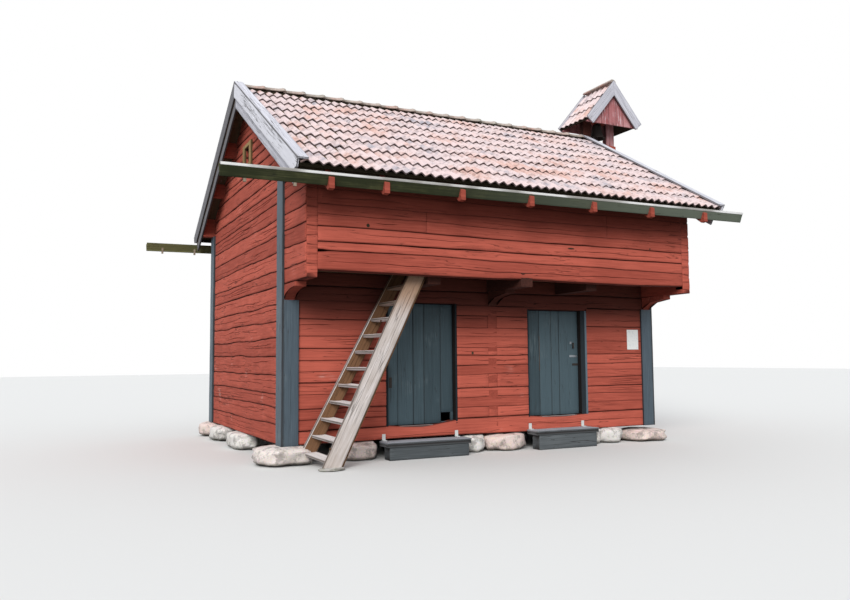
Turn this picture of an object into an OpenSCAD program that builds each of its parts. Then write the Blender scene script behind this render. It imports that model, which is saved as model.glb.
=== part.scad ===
// Raised log granary with a jettied loft, seen from the front with +X to the right.
// Lengths are millimetres. The house is laid out from its lower left front corner at the
// foot of the walls, and moved at the end so that the origin is under the middle of it.

/* [Building] */
// Length of the front wall over both gable faces
house_l = 5600; // [5200:50:6400]
// Depth of the lower storey
house_d = 4150; // [3800:50:4800]
// Reach of the gallery in front of the lower wall
gallery_out = 830; // [760:10:900]
// Thickness of a hewn wall log
log_t = 135; // [120:5:155]
// Height of one log course
course_h = 209; // [204:1:216]
// Log courses under the loft
lower_courses = 9; // [9:1:10]
// Log courses of the gallery wall, without the wall plate
gallery_courses = 5; // [4:1:6]
// Drop of the gallery sill below its course line
sill_drop = 20; // [5:5:40]
// Depth of the V groove between two logs
seam_d = 12; // [6:1:18]
// Slope of a dovetailed log head across the wall
dovetail = 14; // [6:1:22]
// Height of the stone foundation
foundation_h = 215; // [180:5:300]

/* [Stones] */
// Radius of the big stone under the front corner beside the stair
big_stone_r = 360; // [340:5:380]
// Radius of the stone under the other front corner
flat_stone_r = 340; // [320:5:350]
// Radius of the stones under the back corners
back_stone_r = 305; // [280:5:330]
// Height of a corner stone's rounded edge, as a share of the foundation
stone_belly = 0.7; // [0.5:0.05:0.9]
// Place of the big stone's middle, in from the gable
big_stone_x = 40; // [20:5:80]
// Place of the big stone's middle, in from the front
big_stone_y = 150; // [120:5:180]
// Place of the other front corner stone's middle, in from the front
flat_stone_y = 90; // [70:5:120]
// Place of the back corner stones' middles, in from the walls
back_stone_in = 80; // [50:5:110]
// Length of the stone at the left end of the front
end_stone_l = 480; // [420:5:500]
// Length of the stones under the middles of the walls
mid_stone_l = 570; // [500:10:640]
// Width of the stones under the gables and the back wall
side_stone_w = 410; // [380:5:450]
// How far they stand out of the walls
stone_out = 160; // [140:5:180]
// Margin of the slab around the front stringer's foot
slab_out = 60; // [40:5:90]
// Depth of the stones under the front wall
front_stone_d = 380; // [320:10:440]

/* [Roof] */
// Pitch of the main roof in degrees
pitch = 30.95; // [28:0.5:33]
// Reach of the roof past the gallery face
eave_out = 458; // [420:5:480]
// Reach of the roof past a gable, to the face of the barge board
verge_out = 237; // [200:5:280]
// Thickness of the roof boards
roof_board_t = 24; // [20:1:32]
// Depth of battens and tiles together
tile_layer = 50; // [40:2:64]
// Courses of tiles on one slope
tile_courses = 9; // [7:1:11]
// Step from one tile course to the next
tile_step = 15; // [8:1:20]
// Width of the cover board on a verge
cover_w = 125; // [100:5:160]
// Thickness of verge and barge boards
verge_t = 25; // [18:1:32]
// Depth of the outer barge board
barge_d = 180; // [150:5:210]
// How much further down the inner barge board reaches
barge_drop = 127; // [90:5:150]
// Radius of a half-round ridge tile
ridge_r = 125; // [110:5:140]
// Wall of a ridge tile
ridge_tile_t = 16; // [12:1:20]
// Length of one ridge tile
ridge_tile_l = 380; // [330:10:430]
// How far the ridge tiles are bedded between the tops of the slopes
ridge_sink = 46; // [30:1:46]
// Width of a purlin
purlin_w = 140; // [110:5:170]
// Height of a purlin at its lower side
purlin_h = 120; // [90:5:150]
// First purlin from the ridge
purlin_1 = 930; // [800:10:1000]
// Second purlin from the ridge
purlin_2 = 1700; // [1550:10:1850]
// Height of the fascia board at the eaves
fascia_h = 48; // [40:2:54]

/* [Gutters] */
// Reach of the gutter past the wall face
gutter_out = 445; // [435:5:460]
// Height of a gutter plank
gutter_h = 130; // [110:1:140]
// Lean of a gutter plank
gutter_lean = 56; // [45:1:65]
// Thickness of a gutter plank
gutter_t = 22; // [16:1:26]
// Depth of the gutter's top edge under the eave's upper plane
gutter_drop = 120; // [116:1:140]
// Fall of the gutters over the length of the house
gutter_fall = 44; // [20:2:54]
// Reach of the gutters past the left gable
gutter_left = 1007; // [800:10:1100]
// Reach of the gutters past the right gable
gutter_right = 595; // [500:5:620]
// Thickness of a gutter hook
hook_t = 60; // [45:5:75]
// Depth of a hook under the gutter
hook_belly = 46; // [36:1:60]
// Height of a hook's foot on the wall
hook_foot_h = 165; // [140:5:200]
// Nose of a hook in front of the gutter
hook_nose = 25; // [18:1:35]
// Share of the outer plank that stands free above the horn of a hook
hook_free = 0.3; // [0.2:0.05:0.6]
// Far cleat under the gutter, from the left gable
cleat_far = 770; // [700:10:800]
// Near cleat under the gutter, from the left gable
cleat_near = 252; // [200:2:300]
// Width of a cleat
cleat_w = 30; // [20:1:60]
// Reach of a cleat below the gutter
cleat_h = 32; // [20:1:60]
// First hook from the left gable
hook_first = 140; // [110:10:200]
// Second hook from the left gable
hook_second = 771; // [700:10:850]
// Spacing of the other hooks
hook_pitch = 940; // [850:10:980]
// Hooks on one gutter
hook_count = 7; // [5:1:7]

/* [Doors] */
// Width of a door opening
door_w = 1008; // [900:10:1060]
// Left side of the left door opening
left_door_x = 1307; // [1280:1:1340]
// Left side of the right door opening, from the right gable
right_door_in = 2184; // [2150:1:2220]
// Threshold of the left door
left_door_z = 168; // [165:1:185]
// Head of the left door
left_door_top = 1708; // [1680:1:1720]
// Threshold of the right door
right_door_z = 205; // [190:1:220]
// Head of the right door
right_door_top = 1661; // [1640:1:1690]
// Thickness of a jamb board
jamb_t = 30; // [24:1:40]
// Width of the wide latch post at the right door
latch_post_w = 110; // [80:5:130]
// Depth at which a leaf stands behind the wall face
leaf_recess = 58; // [45:1:65]
// Thickness of the door boards
leaf_t = 34; // [28:1:40]
// Boards in a leaf
leaf_boards = 6; // [4:1:8]
// Gap around a leaf
leaf_gap = 8; // [8:0.5:10]
// Thickness of a ledge on the inside of a leaf
ledge_t = 24; // [20:1:28]
// Height of a ledge
ledge_h = 130; // [100:5:160]
// Radius of a hinge pin
pin_r = 7; // [5:0.5:8]
// Running gap of a hinge pin
pin_gap = 0.3; // [0.2:0.05:0.5]
// Height of a strap hinge
strap_h = 42; // [34:1:52]
// Length of a strap hinge
strap_l = 560; // [400:10:640]
// Side of the cat hole
cat_hole_w = 135; // [110:5:150]
// Height of the cat hole
cat_hole_h = 115; // [90:5:140]

// Place of the latch plate, in from the free edge of the left door
latch_in = 22; // [15:1:30]
// Width of the latch plate
latch_w = 40; // [30:1:50]
// Height of the latch plate
latch_h = 130; // [100:5:150]
// Height of the latch plate above the door's sill
latch_rise = 472; // [440:2:520]
// Length of the hasp on the right door
hasp_l = 97; // [80:1:120]
// Height of the hasp
hasp_h = 30; // [24:1:40]
// Height of the hasp above the door's sill
hasp_rise = 683; // [650:1:720]
// Height of the handle
handle_h = 80; // [60:1:100]
// Height of the handle above the door's sill
handle_rise = 923; // [890:1:960]

/* [Stair] */
// Foot of the front stringer from the left gable
stair_foot_x = 262; // [220:2:300]
// Foot of the rear stringer from the left gable
stair_rear_foot_x = 172; // [150:2:200]
// Side of the stair hatch that the stringers lean on
hatch_right = 1545; // [1530:5:1600]
// Length of the stair hatch
hatch_l = 640; // [600:10:700]
// Front face of the stair, in front of the lower wall
stair_front = 655; // [640:1:665]
// Rear face of the stair, in front of the lower wall
stair_rear = 85; // [70:1:120]
// Width of a stringer plank
stringer_w = 178; // [160:2:190]
// Thickness of a stringer plank
stringer_t = 50; // [40:1:60]
// Top of the first tread above the wall foot
first_tread = -61; // [-80:1:-40]
// Rise of the stair
tread_rise = 194; // [180:1:198]
// Treads of the stair
tread_count = 11; // [8:1:11]
// Thickness of a tread
tread_t = 34; // [28:1:40]
// Thickness of the slab under the stair
slab_t = 24; // [18:1:36]

/* [Turret] */
// Middle of the bell turret past the right gable
turret_x_out = 535; // [520:5:560]
// Width of the turret roof over its eaves
turret_w = 1180; // [1120:10:1200]
// Length of the turret roof, front to back
turret_l = 822; // [780:10:860]
// Pitch of the turret roof in degrees
turret_pitch = 49.7; // [48:0.1:52]
// Top of the turret ridge above the main ridge
turret_rise = 883; // [860:5:900]
// Depth of the turret's barge boards
turret_barge_d = 170; // [140:5:180]
// Drop of the turret's gable boards below its ridge
turret_gable_drop = 766; // [740:2:780]
// Width of a turret post along the ridge
post_w = 180; // [150:5:190]
// Depth of a turret post across the ridge
post_d = 105; // [90:5:120]
// Clear gap between the posts
post_gap = 320; // [300:2:340]
// How far the posts stand to the left of the turret's middle
post_shift = 60; // [0:5:80]
// Radius of the bell at its lip
bell_r = 142; // [120:1:145]
// Height of the bell
bell_h = 262; // [240:2:270]
// Height of the bell's axis above the main ridge
bell_axis_rise = 256; // [240:2:270]
// Radius of the bell's journal pins
journal_r = 9; // [7:0.5:11]
// Thickness of the bell's wall
bell_wall = 13; // [9:1:16]
// Thickness of the bell's crown
bell_crown_t = 18; // [12:1:24]
// Radius of the clapper's ball
clapper_r = 24; // [18:1:30]
// Radius of the clapper's rod
clapper_rod_r = 7; // [5:1:9]
// Width of the bell's yoke
yoke_w = 76; // [60:1:90]
// Depth of the yoke under its pins
yoke_drop = 42; // [36:1:50]
// Gap between the yoke and the posts
yoke_gap = 6; // [5:0.5:10]

/* [Trim] */
// Width of a corner board
corner_board_w = 180; // [150:5:210]
// Width of a corner board on the gable
gable_board_w = 205; // [180:5:240]
// Thickness of a corner board
corner_board_t = 30; // [24:1:38]
// Height of the front corner boards
corner_board_h = 1700; // [1640:5:1705]
// Middle of the gable window from the lower front wall
window_y = 1775; // [1740:5:1800]
// Underside of the gable window above the wall foot
window_z = 3733; // [3715:1:3745]
// Clear width of the gable window
window_w = 252; // [220:2:280]
// Clear height of the gable window
window_h = 234; // [210:2:250]
// Width of the window frame boards
window_frame_w = 110; // [90:2:120]
// Reach of a carved log end under the gallery
corbel_out = 450; // [400:10:500]
// Height of the square nose of a carved log end
corbel_nose = 51; // [40:1:70]
// Thickness of the window frame boards
window_frame_t = 28; // [20:1:34]
// Right edge of the notice from the right gable
notice_in = 229; // [215:1:260]
// Underside of the notice above the wall foot
notice_z = 1111; // [1000:1:1200]
// Width of the notice
notice_w = 210; // [200:1:220]
// Height of the notice
notice_h = 289; // [280:1:300]
// Depth of the plank on a door step
step_d = 270; // [240:5:300]
// Thickness of the plank on a door step
step_t = 60; // [50:1:70]
// Gap between a step and the wall
step_gap = 13; // [8:1:20]
// Start of the left step, left of its door
left_step_out = 103; // [90:1:120]
// Length of the left step
left_step_l = 1151; // [1130:1:1170]
// Top of the left step
left_step_z = 0; // [-10:1:10]
// Start of the right step, left of its door
right_step_out = 51; // [40:1:70]
// Length of the right step
right_step_l = 1015; // [990:5:1040]
// Top of the right step
right_step_z = 37; // [25:1:45]
// Depth of the block under a step
step_block_d = 168; // [150:2:300]
// How far the block stands in from the ends of its step
step_block_in = 32; // [20:1:50]
// Width of a step bracket
bracket_w = 45; // [35:1:55]
// Place of a step's brackets, in from its ends
bracket_in = 43; // [30:1:60]
// Height of a step bracket
bracket_h = 80; // [60:1:90]

/* [Hidden] */

right_door_x = house_l - right_door_in;

red = "firebrick";
slate = "slategray";
weathered = "silver";
clay = "rosybrown";
stone_grey = "darkgray";
iron = "dimgray";

tan_p = tan(pitch);
cos_p = cos(pitch);
sin_p = sin(pitch);
loft_z = lower_courses * course_h;
gallery_z = loft_z + course_h / 2 - sill_drop;
plate_z = loft_z + course_h / 2 + gallery_courses * course_h;
plate_top = plate_z + course_h;
ridge_y = (house_d - gallery_out) / 2;
half_span = ridge_y + gallery_out;
roof_stack = verge_t + tile_layer + roof_board_t;
ridge_z = plate_top + roof_stack / cos_p + half_span * tan_p;
slope_l = (half_span + eave_out) / cos_p;
under_apex = ridge_z - roof_stack / cos_p;
tile_top = verge_t;
board_top = verge_t + tile_layer;
step_l = slope_l / tile_courses;
lap_step = 8;
lap_share = 0.22;
hook_arm_in = 38;
barge_end_gap = 12;
eave_back = 70;
fascia_t = 22;
seat_gap = 0.3;
notch_over = 5;
notice_t = 4;
bracket_t = 8;
left_step_x = left_door_x - left_step_out;
right_step_x = right_door_x - right_step_out;
left_step = [left_step_x, left_step_x + left_step_l, left_step_z];
right_step = [right_step_x, right_step_x + right_step_l, right_step_z];
board_reach = verge_out - verge_t;
beam_h = 170;
beam_w = 168;
middle_beam_x = 0.495 * house_l;
partition_x = middle_beam_x + (beam_w - log_t) / 2;
floor_t = 40;
loft_floor_z = loft_z + beam_h;
loft_floor_top = loft_floor_z + floor_t;
ground_floor_z = 110;
pocket = 60;
hatch_gap = 10;
tread_in = 6;
joist_count = 4;
joist_w = 110;
joist_in = 700;
joist_pitch = (house_l - 2 * joist_in - joist_w) / (joist_count - 1);

turret_x = house_l + turret_x_out;
turret_top = ridge_z + turret_rise;
turret_board_t = 22;
turret_tile_t = 46;
turret_stack = turret_board_t + turret_tile_t;
turret_under_apex = turret_top - turret_stack / cos(turret_pitch);
rail_w = 90;
rail_h = 60;
turret_gable_in = 90;
journal_depth = 60;
beam_past_post = 18;
beam_top_flat = under_apex - purlin_w / 2 * tan_p;
left_post_x = -post_shift - post_gap / 2 - post_w;
right_post_x = -post_shift + post_gap / 2;
beam_end = turret_x + right_post_x + post_w + beam_past_post;
bell_axis_z = ridge_z + bell_axis_rise;

stone_flat = 0.45;
stone_foot_in = 20;
stone_gap = 90;
ledge_gap = 12;
flat_stone_x = house_l - flat_stone_r / 2;
x_low = -gutter_left;
x_high = max(turret_x + turret_w / 2, house_l + gutter_right);
place = [-(x_low + x_high) / 2, -ridge_y, foundation_h];

// Height of the underside of the roof boards at a distance from the ridge line
function under_z(d) = under_apex - abs(d) * tan_p;

// A point on the front slope: s down from the ridge, n below the upper plane
function on_slope(s, n) = [
    ridge_y - s * cos_p + n * sin_p,
    ridge_z - s * sin_p - n * cos_p
];

// A point on the ridge plane, n below the upper plane
function on_ridge(n) = [ridge_y, ridge_z - n / cos_p];

// Mirrors a piece of the front slope on to the back slope
module at_back() {
    translate([0, 2 * ridge_y, 0]) mirror([0, 1, 0]) children();
}

// Mirrors a piece of the left end on to the right end
module at_right() {
    translate([house_l, 0, 0]) mirror([1, 0, 0]) children();
}

// Draws a piece once at each gable
module both_gables() {
    children();
    at_right() children();
}

// Extrudes an outline drawn in Y and Z along X
module along_x(x0, x1) {
    translate([x0, 0, 0]) rotate([90, 0, 90]) linear_extrude(x1 - x0) children();
}

// Extrudes an outline drawn in X and Z along Y
module along_y(y0, y1) {
    translate([0, y1, 0]) rotate([90, 0, 0]) linear_extrude(y1 - y0) children();
}

// A box given by its low and high corners
module block(low, high) {
    translate(low) cube(high - low);
}

// Points of the grooved outer face, from the top down, for seams at offset + k courses
function seam_points(z0, z1, offset) = [
    for (k = [ceil((z1 - offset) / course_h) : -1 : floor((z0 - offset) / course_h)])
        let (z = offset + k * course_h)
        if (z > z0 + seam_d && z < z1 - seam_d)
            for (p = [[0, z + seam_d], [seam_d, z], [0, z - seam_d]]) p
];

// Outline of a log wall, with the grooved outer face at 0 and the flat inner face at log_t
module log_outline(z0, z1, offset) {
    polygon(concat([[log_t, z0], [log_t, z1], [0, z1]], seam_points(z0, z1, offset), [[0, z0]]));
}

// Log wall along X with its outer face at y and its inner face behind it
module wall_x(x0, x1, y, z0, z1) {
    translate([0, y, 0]) along_x(x0, x1) log_outline(z0, z1, course_h / 2);
}

// Heads of the gable logs at one corner: dovetailed tongues through the front or back wall
module gable_heads(y, first, last, over = 1) {
    for (k = [first : last]) {
        z = k * course_h;
        along_x(-over, log_t)
            polygon([
                [y - 1, z + course_h / 4 - dovetail / 2],
                [y + log_t, z + course_h / 4 + dovetail / 2],
                [y + log_t, z + course_h * 3 / 4 - dovetail / 2],
                [y - 1, z + course_h * 3 / 4 + dovetail / 2]
            ]);
    }
}

// The same heads at both ends of a wall
module heads_both_ends(y, first, last) {
    both_gables() gable_heads(y, first, last);
}

// The corner post volume that front heads and gable heads share
module corner_column(y, z0, z1) {
    block([-2, y - 2, z0], [log_t, y + log_t, z1]);
}

// Carved log end that carries the gallery: a concave quarter under a square nose
module corbel_outline() {
    hollow = loft_z - corner_board_h - corbel_nose;
    polygon(concat(
        [[0, loft_z]],
        [for (a = [0 : 7.5 : 90])
            [-corbel_out * (1 - cos(a)), corner_board_h + hollow * sin(a)]],
        [[-corbel_out, loft_z]]
    ));
}

// A log wall along Y under the loft, with its log heads in the front and back walls
module cross_wall() {
    difference() {
        along_y(0, house_d) log_outline(0, loft_z, 0);
        difference() {
            union() {
                corner_column(0, -1, loft_z + 1);
                corner_column(house_d - log_t, -1, loft_z + 1);
            }
            gable_heads(0, 0, lower_courses - 1);
            translate([0, house_d, 0]) mirror([0, 1, 0]) gable_heads(0, 0, lower_courses - 1);
        }
    }
}

// Heads of the partition between the two rooms, seen between the doors
module partition_heads(first, last) {
    translate([partition_x, 0, 0]) gable_heads(0, first, last, 0);
}

// Upper storey and gable triangle, from the gallery front to the back wall
module gable_upper_logs() {
    difference() {
        intersection() {
            along_y(-gallery_out, house_d) log_outline(loft_z, ridge_z, 0);
            along_x(-1, log_t + 1)
                polygon([
                    [-gallery_out, loft_z], [house_d, loft_z], [house_d, plate_top],
                    [ridge_y, under_apex], [-gallery_out, plate_top]
                ]);
        }
        difference() {
            union() {
                corner_column(-gallery_out, gallery_z, plate_top + 1);
                corner_column(house_d - log_t, loft_z - 1, plate_top + 1);
            }
            gable_heads(-gallery_out, lower_courses, lower_courses + gallery_courses - 1);
            translate([0, house_d, 0]) mirror([0, 1, 0])
                gable_heads(0, lower_courses, lower_courses + gallery_courses - 1);
        }
        plates_solid(notch_over);
        purlins_solid(notch_over);
        ridge_solid(notch_over);
        block([-1, window_y - window_w / 2, window_z],
              [log_t + 1, window_y + window_w / 2, window_z + window_h]);
    }
}

// Wall plate, purlin and ridge beam as plain solids. They are also the notches in the gables,
// where `over` lifts their tops through the roof line.
module plate_front(over) {
    along_x(-board_reach + verge_t, house_l + board_reach - verge_t)
        polygon([
            [-gallery_out, plate_z], [-gallery_out + log_t, plate_z],
            [-gallery_out + log_t, under_z(half_span - log_t) + over],
            [-gallery_out, plate_top + over]
        ]);
}

module plates_solid(over = 0) {
    plate_front(over);
    at_back() plate_front(over);
}

module purlin_front(d, over) {
    y0 = ridge_y - d - purlin_w / 2;
    y1 = y0 + purlin_w;
    along_x(-board_reach + verge_t, house_l + board_reach - verge_t)
        polygon([
            [y0, under_z(y0 - ridge_y) - purlin_h], [y1, under_z(y0 - ridge_y) - purlin_h],
            [y1, under_z(y1 - ridge_y) + over], [y0, under_z(y0 - ridge_y) + over]
        ]);
}

module purlins_solid(over = 0) {
    for (d = [purlin_1, purlin_2]) {
        purlin_front(d, over);
        at_back() purlin_front(d, over);
    }
}

module ridge_solid(over = 0) {
    bottom = beam_top_flat - purlin_h;
    along_x(-board_reach + verge_t, house_l + board_reach)
        polygon([
            [ridge_y - purlin_w / 2, bottom], [ridge_y + purlin_w / 2, bottom],
            [ridge_y + purlin_w / 2, beam_top_flat + over], [ridge_y, under_apex + over],
            [ridge_y - purlin_w / 2, beam_top_flat + over]
        ]);
    block([house_l + board_reach - 1, ridge_y - purlin_w / 2, bottom],
          [beam_end, ridge_y + purlin_w / 2, beam_top_flat]);
}

// The left turret post stands through the roof at the verge
module post_void() {
    block([turret_x + left_post_x, ridge_y - post_d / 2, beam_top_flat],
          [turret_x + left_post_x + post_w, ridge_y + post_d / 2, ridge_z + ridge_r]);
}

// A layer of the front slope between depths n0 and n1, from s0 down to s1
module slope_layer(x0, x1, s0, s1, n0, n1) {
    along_x(x0, x1)
        polygon(s0 == 0
            ? [on_ridge(n0), on_slope(s1, n0), on_slope(s1, n1), on_ridge(n1)]
            : [on_slope(s0, n0), on_slope(s1, n0), on_slope(s1, n1), on_slope(s0, n1)]);
}

// Tiles of one slope: every course starts proud and dips under the next one
module tile_layer_solid() {
    tops = [
        for (k = [0 : tile_courses - 1])
            for (p = [
                on_slope(slope_l - k * step_l, tile_top),
                k < tile_courses - 1
                    ? on_slope(slope_l - (k + 1) * step_l, tile_top + tile_step)
                    : on_ridge(tile_top + tile_step)
            ]) p
    ];
    under = board_top - seat_gap;
    along_x(-board_reach, house_l + board_reach)
        polygon(concat([on_slope(slope_l, under)], tops, [on_ridge(under)]));
}

// Half-round ridge tiles, each with a wider lap over the next one
module ridge_tile_row() {
    x0 = cover_w - verge_out;
    x1 = house_l - x0;
    count = ceil((x1 - x0) / ridge_tile_l);
    length = (x1 - x0) / count;
    centre_z = ridge_z - tile_top / cos_p - ridge_r * tan_p - ridge_sink;
    difference() {
        for (k = [0 : count - 1]) {
            translate([x0 + k * length, ridge_y, centre_z]) rotate([0, 90, 0]) {
                cylinder(r = ridge_r - lap_step, h = length + (k < count - 1 ? 1 : 0), $fn = 64);
                cylinder(r = ridge_r, h = length * lap_share, $fn = 64);
            }
        }
        translate([x0 - 1, ridge_y, centre_z]) rotate([0, 90, 0])
            cylinder(r = ridge_r - ridge_tile_t, h = x1 - x0 + 2, $fn = 64);
        for (side = [0, 1])
            translate([0, side * 2 * ridge_y, 0]) mirror([0, side, 0])
                along_x(x0 - 1, x1 + 1)
                    polygon([
                        on_ridge(tile_top + tile_step), on_slope(step_l, tile_top),
                        on_slope(step_l, tile_top + ridge_r), on_ridge(tile_top + 2 * ridge_r)
                    ]);
    }
}

// Gutter: a V of two planks that falls gently towards the left
gutter_top_z = ridge_z - (half_span + gutter_out) * tan_p - gutter_drop;
gutter_y = -gallery_out - gutter_out;
gutter_mid_y = gutter_y + gutter_lean;
gutter_low_z = gutter_top_z - gutter_h;
gutter_inner_y = gutter_mid_y + gutter_lean;
gutter_t_z = gutter_t * gutter_h / gutter_lean;
gutter_angle = atan(gutter_fall / house_l);
barge_end_z = gutter_top_z + gutter_fall / 2 + barge_end_gap;

module along_gutter() {
    translate([house_l / 2, 0, 0]) rotate([0, -gutter_angle, 0])
        along_x(x_low - house_l / 2, house_l / 2 + gutter_right) children();
}

module gutter_outer_outline() {
    polygon([
        [gutter_y, gutter_top_z], [gutter_mid_y, gutter_low_z],
        [gutter_mid_y, gutter_low_z + gutter_t_z], [gutter_y + gutter_t, gutter_top_z]
    ]);
}

module gutter_inner_outline() {
    polygon([
        [gutter_mid_y, gutter_low_z], [gutter_inner_y, gutter_top_z],
        [gutter_inner_y - gutter_t, gutter_top_z],
        [gutter_mid_y, gutter_low_z + gutter_t_z]
    ]);
}

// Hook: an arm under the roof boards with a V seat for the gutter and an upturned nose
module hook_outline(dz) {
    wall_y = -gallery_out;
    arm_y = gutter_inner_y + hook_arm_in;
    horn_y = gutter_y + gutter_lean * hook_free;
    horn_z = gutter_top_z - gutter_h * hook_free;
    polygon([
        [wall_y, plate_top],
        [arm_y, under_z(arm_y - ridge_y)],
        [gutter_inner_y, gutter_top_z + dz],
        [gutter_mid_y, gutter_low_z + dz],
        [horn_y, horn_z + dz],
        [horn_y - hook_nose, horn_z - hook_nose / 2 + dz],
        [horn_y - hook_nose, gutter_low_z - hook_belly * 0.8 + dz],
        [gutter_mid_y, gutter_low_z - hook_belly + dz],
        [wall_y, plate_top - hook_foot_h]
    ]);
}

hook_places = [
    for (k = [0 : hook_count - 1])
        k == 0 ? hook_first : hook_second + (k - 1) * hook_pitch
];

// Height of the gutter at x against its middle, as seen from what carries it
function fall_at(x) = (x - house_l / 2) * tan(gutter_angle) - seat_gap;

module hooks_front() {
    for (x = hook_places)
        along_x(x - hook_t / 2, x + hook_t / 2)
            hook_outline(fall_at(x - hook_t / 2));
}

// Stones: the corner stones are domed, the others are loose boulders
module corner_stone(x, y, r) {
    flat = r * stone_flat;
    belly = foundation_h * stone_belly;
    translate([x, y, -foundation_h])
        rotate_extrude($fn = 96)
            polygon(concat(
                [[0, 0], [r - stone_foot_in, 0]],
                [for (a = [0 : 9 : 90])
                    [flat + (r - flat) * cos(a), foundation_h - belly * (1 - sin(a))]],
                [[0, foundation_h]]
            ));
}

// A boulder that fills x0..x1 and y0..y1 between the ground and the sill
module boulder(x0, x1, y0, y1) {
    a = (x1 - x0) / 2;
    b = (y1 - y0) / 2;
    translate([(x0 + x1) / 2, (y0 + y1) / 2, -foundation_h / 2])
        intersection() {
            hull()
                for (side = [-1, 1])
                    translate([side * a * 0.3, side * b * 0.15, 0])
                        scale([a * 0.7, b * 0.85, foundation_h * 0.55]) sphere(1, $fn = 18);
            cube([3 * a, 3 * b, foundation_h], center = true);
        }
}

// The big front stone has a ledge that the rear stringer stands on
module corner_stones() {
    color(stone_grey) translate(place) {
        difference() {
            corner_stone(big_stone_x, big_stone_y, big_stone_r);
            block([stair_rear_foot_x - ledge_gap, -big_stone_r, rear_foot_z],
                  [2 * big_stone_r, -stair_rear + ledge_gap / 2, 1]);
        }
        corner_stone(flat_stone_x, flat_stone_y, flat_stone_r);
        for (x = [back_stone_in, house_l - back_stone_in])
            corner_stone(x, house_d - back_stone_in, back_stone_r);
    }
}

module field_stones() {
    y0 = log_t / 2 - front_stone_d / 2;
    y1 = y0 + front_stone_d;
    gap_x = left_step[1];
    gap = right_step[0] - gap_x;
    last_x = flat_stone_x - flat_stone_r - stone_gap;
    last_l = (last_x - right_step[1]) * 0.59;
    side_l = house_d * 0.2;
    side_y = house_d - back_stone_in - back_stone_r - stone_gap;
    color(stone_grey) translate(place) {
        boulder(left_step[0] - end_stone_l, left_step[0] - step_gap, y0, y1);
        boulder(gap_x + gap * 0.045, gap_x + gap * 0.37, y0 + 30, y1);
        boulder(gap_x + gap * 0.385, gap_x + gap * 0.985, y0 - 30, y1);
        boulder(right_step[1] + step_gap, last_x - last_l - step_gap, y0 + 30, y1);
        boulder(last_x - last_l, last_x, y0, y1);
        boulder(-stone_out, side_stone_w - stone_out,
                (house_d - side_l) / 2, (house_d + side_l) / 2);
        boulder(-stone_out, side_stone_w - stone_out, side_y - side_l, side_y);
        boulder(house_l + stone_out - side_stone_w, house_l + stone_out,
                house_d / 2 - mid_stone_l / 2, house_d / 2 + mid_stone_l / 2);
        for (x = [house_l / 3, house_l * 2 / 3])
            boulder(x - mid_stone_l / 2, x + mid_stone_l / 2,
                    house_d + stone_out - side_stone_w, house_d + stone_out);
        block([stair_foot_x - slab_out, -stair_front - slab_out, -foundation_h],
              [stair_foot_x + stringer_w + slab_out, -stair_front + stringer_t + slab_out,
               -foundation_h + slab_t]);
    }
}

// Lower front wall: long sill logs, three piers between the doors, and the logs over them
module door_void(x, z0, z1) {
    block([x, -1, z0], [x + door_w, log_t + 1, z1]);
}

sill_top = course_h * 1.5;
head_bottom = course_h * 7.5;

module front_sill() {
    color(red) translate(place)
        difference() {
            wall_x(0, house_l, 0, 0, sill_top);
            heads_both_ends(0, 0, 1);
            partition_heads(0, 1);
            door_void(left_door_x, left_door_z, sill_top + 1);
            door_void(right_door_x, right_door_z, sill_top + 1);
        }
}

module front_wall_piers() {
    color(red) translate(place) {
        difference() {
            wall_x(0, left_door_x, 0, sill_top, head_bottom);
            gable_heads(0, 1, lower_courses - 1);
        }
        difference() {
            wall_x(left_door_x + door_w, right_door_x, 0, sill_top, head_bottom);
            partition_heads(1, lower_courses - 1);
        }
        difference() {
            wall_x(right_door_x + door_w, house_l, 0, sill_top, head_bottom);
            at_right() gable_heads(0, 1, lower_courses - 1);
        }
    }
}

module front_wall_head() {
    color(red) translate(place)
        difference() {
            wall_x(0, house_l, 0, head_bottom, loft_floor_z);
            heads_both_ends(0, 7, lower_courses - 1);
            partition_heads(7, lower_courses - 1);
            both_gables() block([-1, -1, loft_z], [log_t, log_t + 1, loft_floor_z + 1]);
            door_void(left_door_x, head_bottom - 1, left_door_top);
            door_void(right_door_x, head_bottom - 1, right_door_top);
            beams_solid();
        }
}

// Carved log ends under the gallery, one at each gable and one at the partition
module gallery_corbels() {
    color(red) translate(place) {
        both_gables() along_x(0, log_t) corbel_outline();
        along_x(partition_x, partition_x + log_t) corbel_outline();
    }
}

module lower_gables() {
    color(red) translate(place) both_gables() cross_wall();
}

module partition_wall() {
    color(red) translate(place) translate([partition_x, 0, 0]) cross_wall();
}

module back_wall() {
    color(red) translate(place)
        difference() {
            translate([0, house_d, 0]) mirror([0, 1, 0]) wall_x(0, house_l, 0, 0, plate_z);
            translate([0, house_d, 0]) mirror([0, 1, 0])
                union() {
                    heads_both_ends(0, 0, lower_courses + gallery_courses);
                    partition_heads(0, lower_courses - 1);
                }
            beams_solid();
        }
}

// Floors and the beams under them
beam_places = [hatch_right, middle_beam_x, house_l - hatch_right - beam_w];

module beams_solid() {
    for (x = beam_places) {
        front = x == middle_beam_x ? -gallery_out : -gallery_out + log_t;
        block([x, front, loft_z], [x + beam_w, house_d - log_t + pocket, loft_floor_z]);
    }
}

module floor_beams() {
    color(red) translate(place) {
        beams_solid();
        for (k = [0 : joist_count - 1])
            block([joist_in + k * joist_pitch, log_t, 0],
                  [joist_in + k * joist_pitch + joist_w, house_d - log_t, ground_floor_z]);
    }
}

module ground_floor() {
    color("burlywood") translate(place)
        difference() {
            block([log_t, log_t, ground_floor_z],
                  [house_l - log_t, house_d - log_t, ground_floor_z + floor_t]);
            block([partition_x, 0, 0], [partition_x + log_t, house_d, loft_z]);
        }
}

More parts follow.
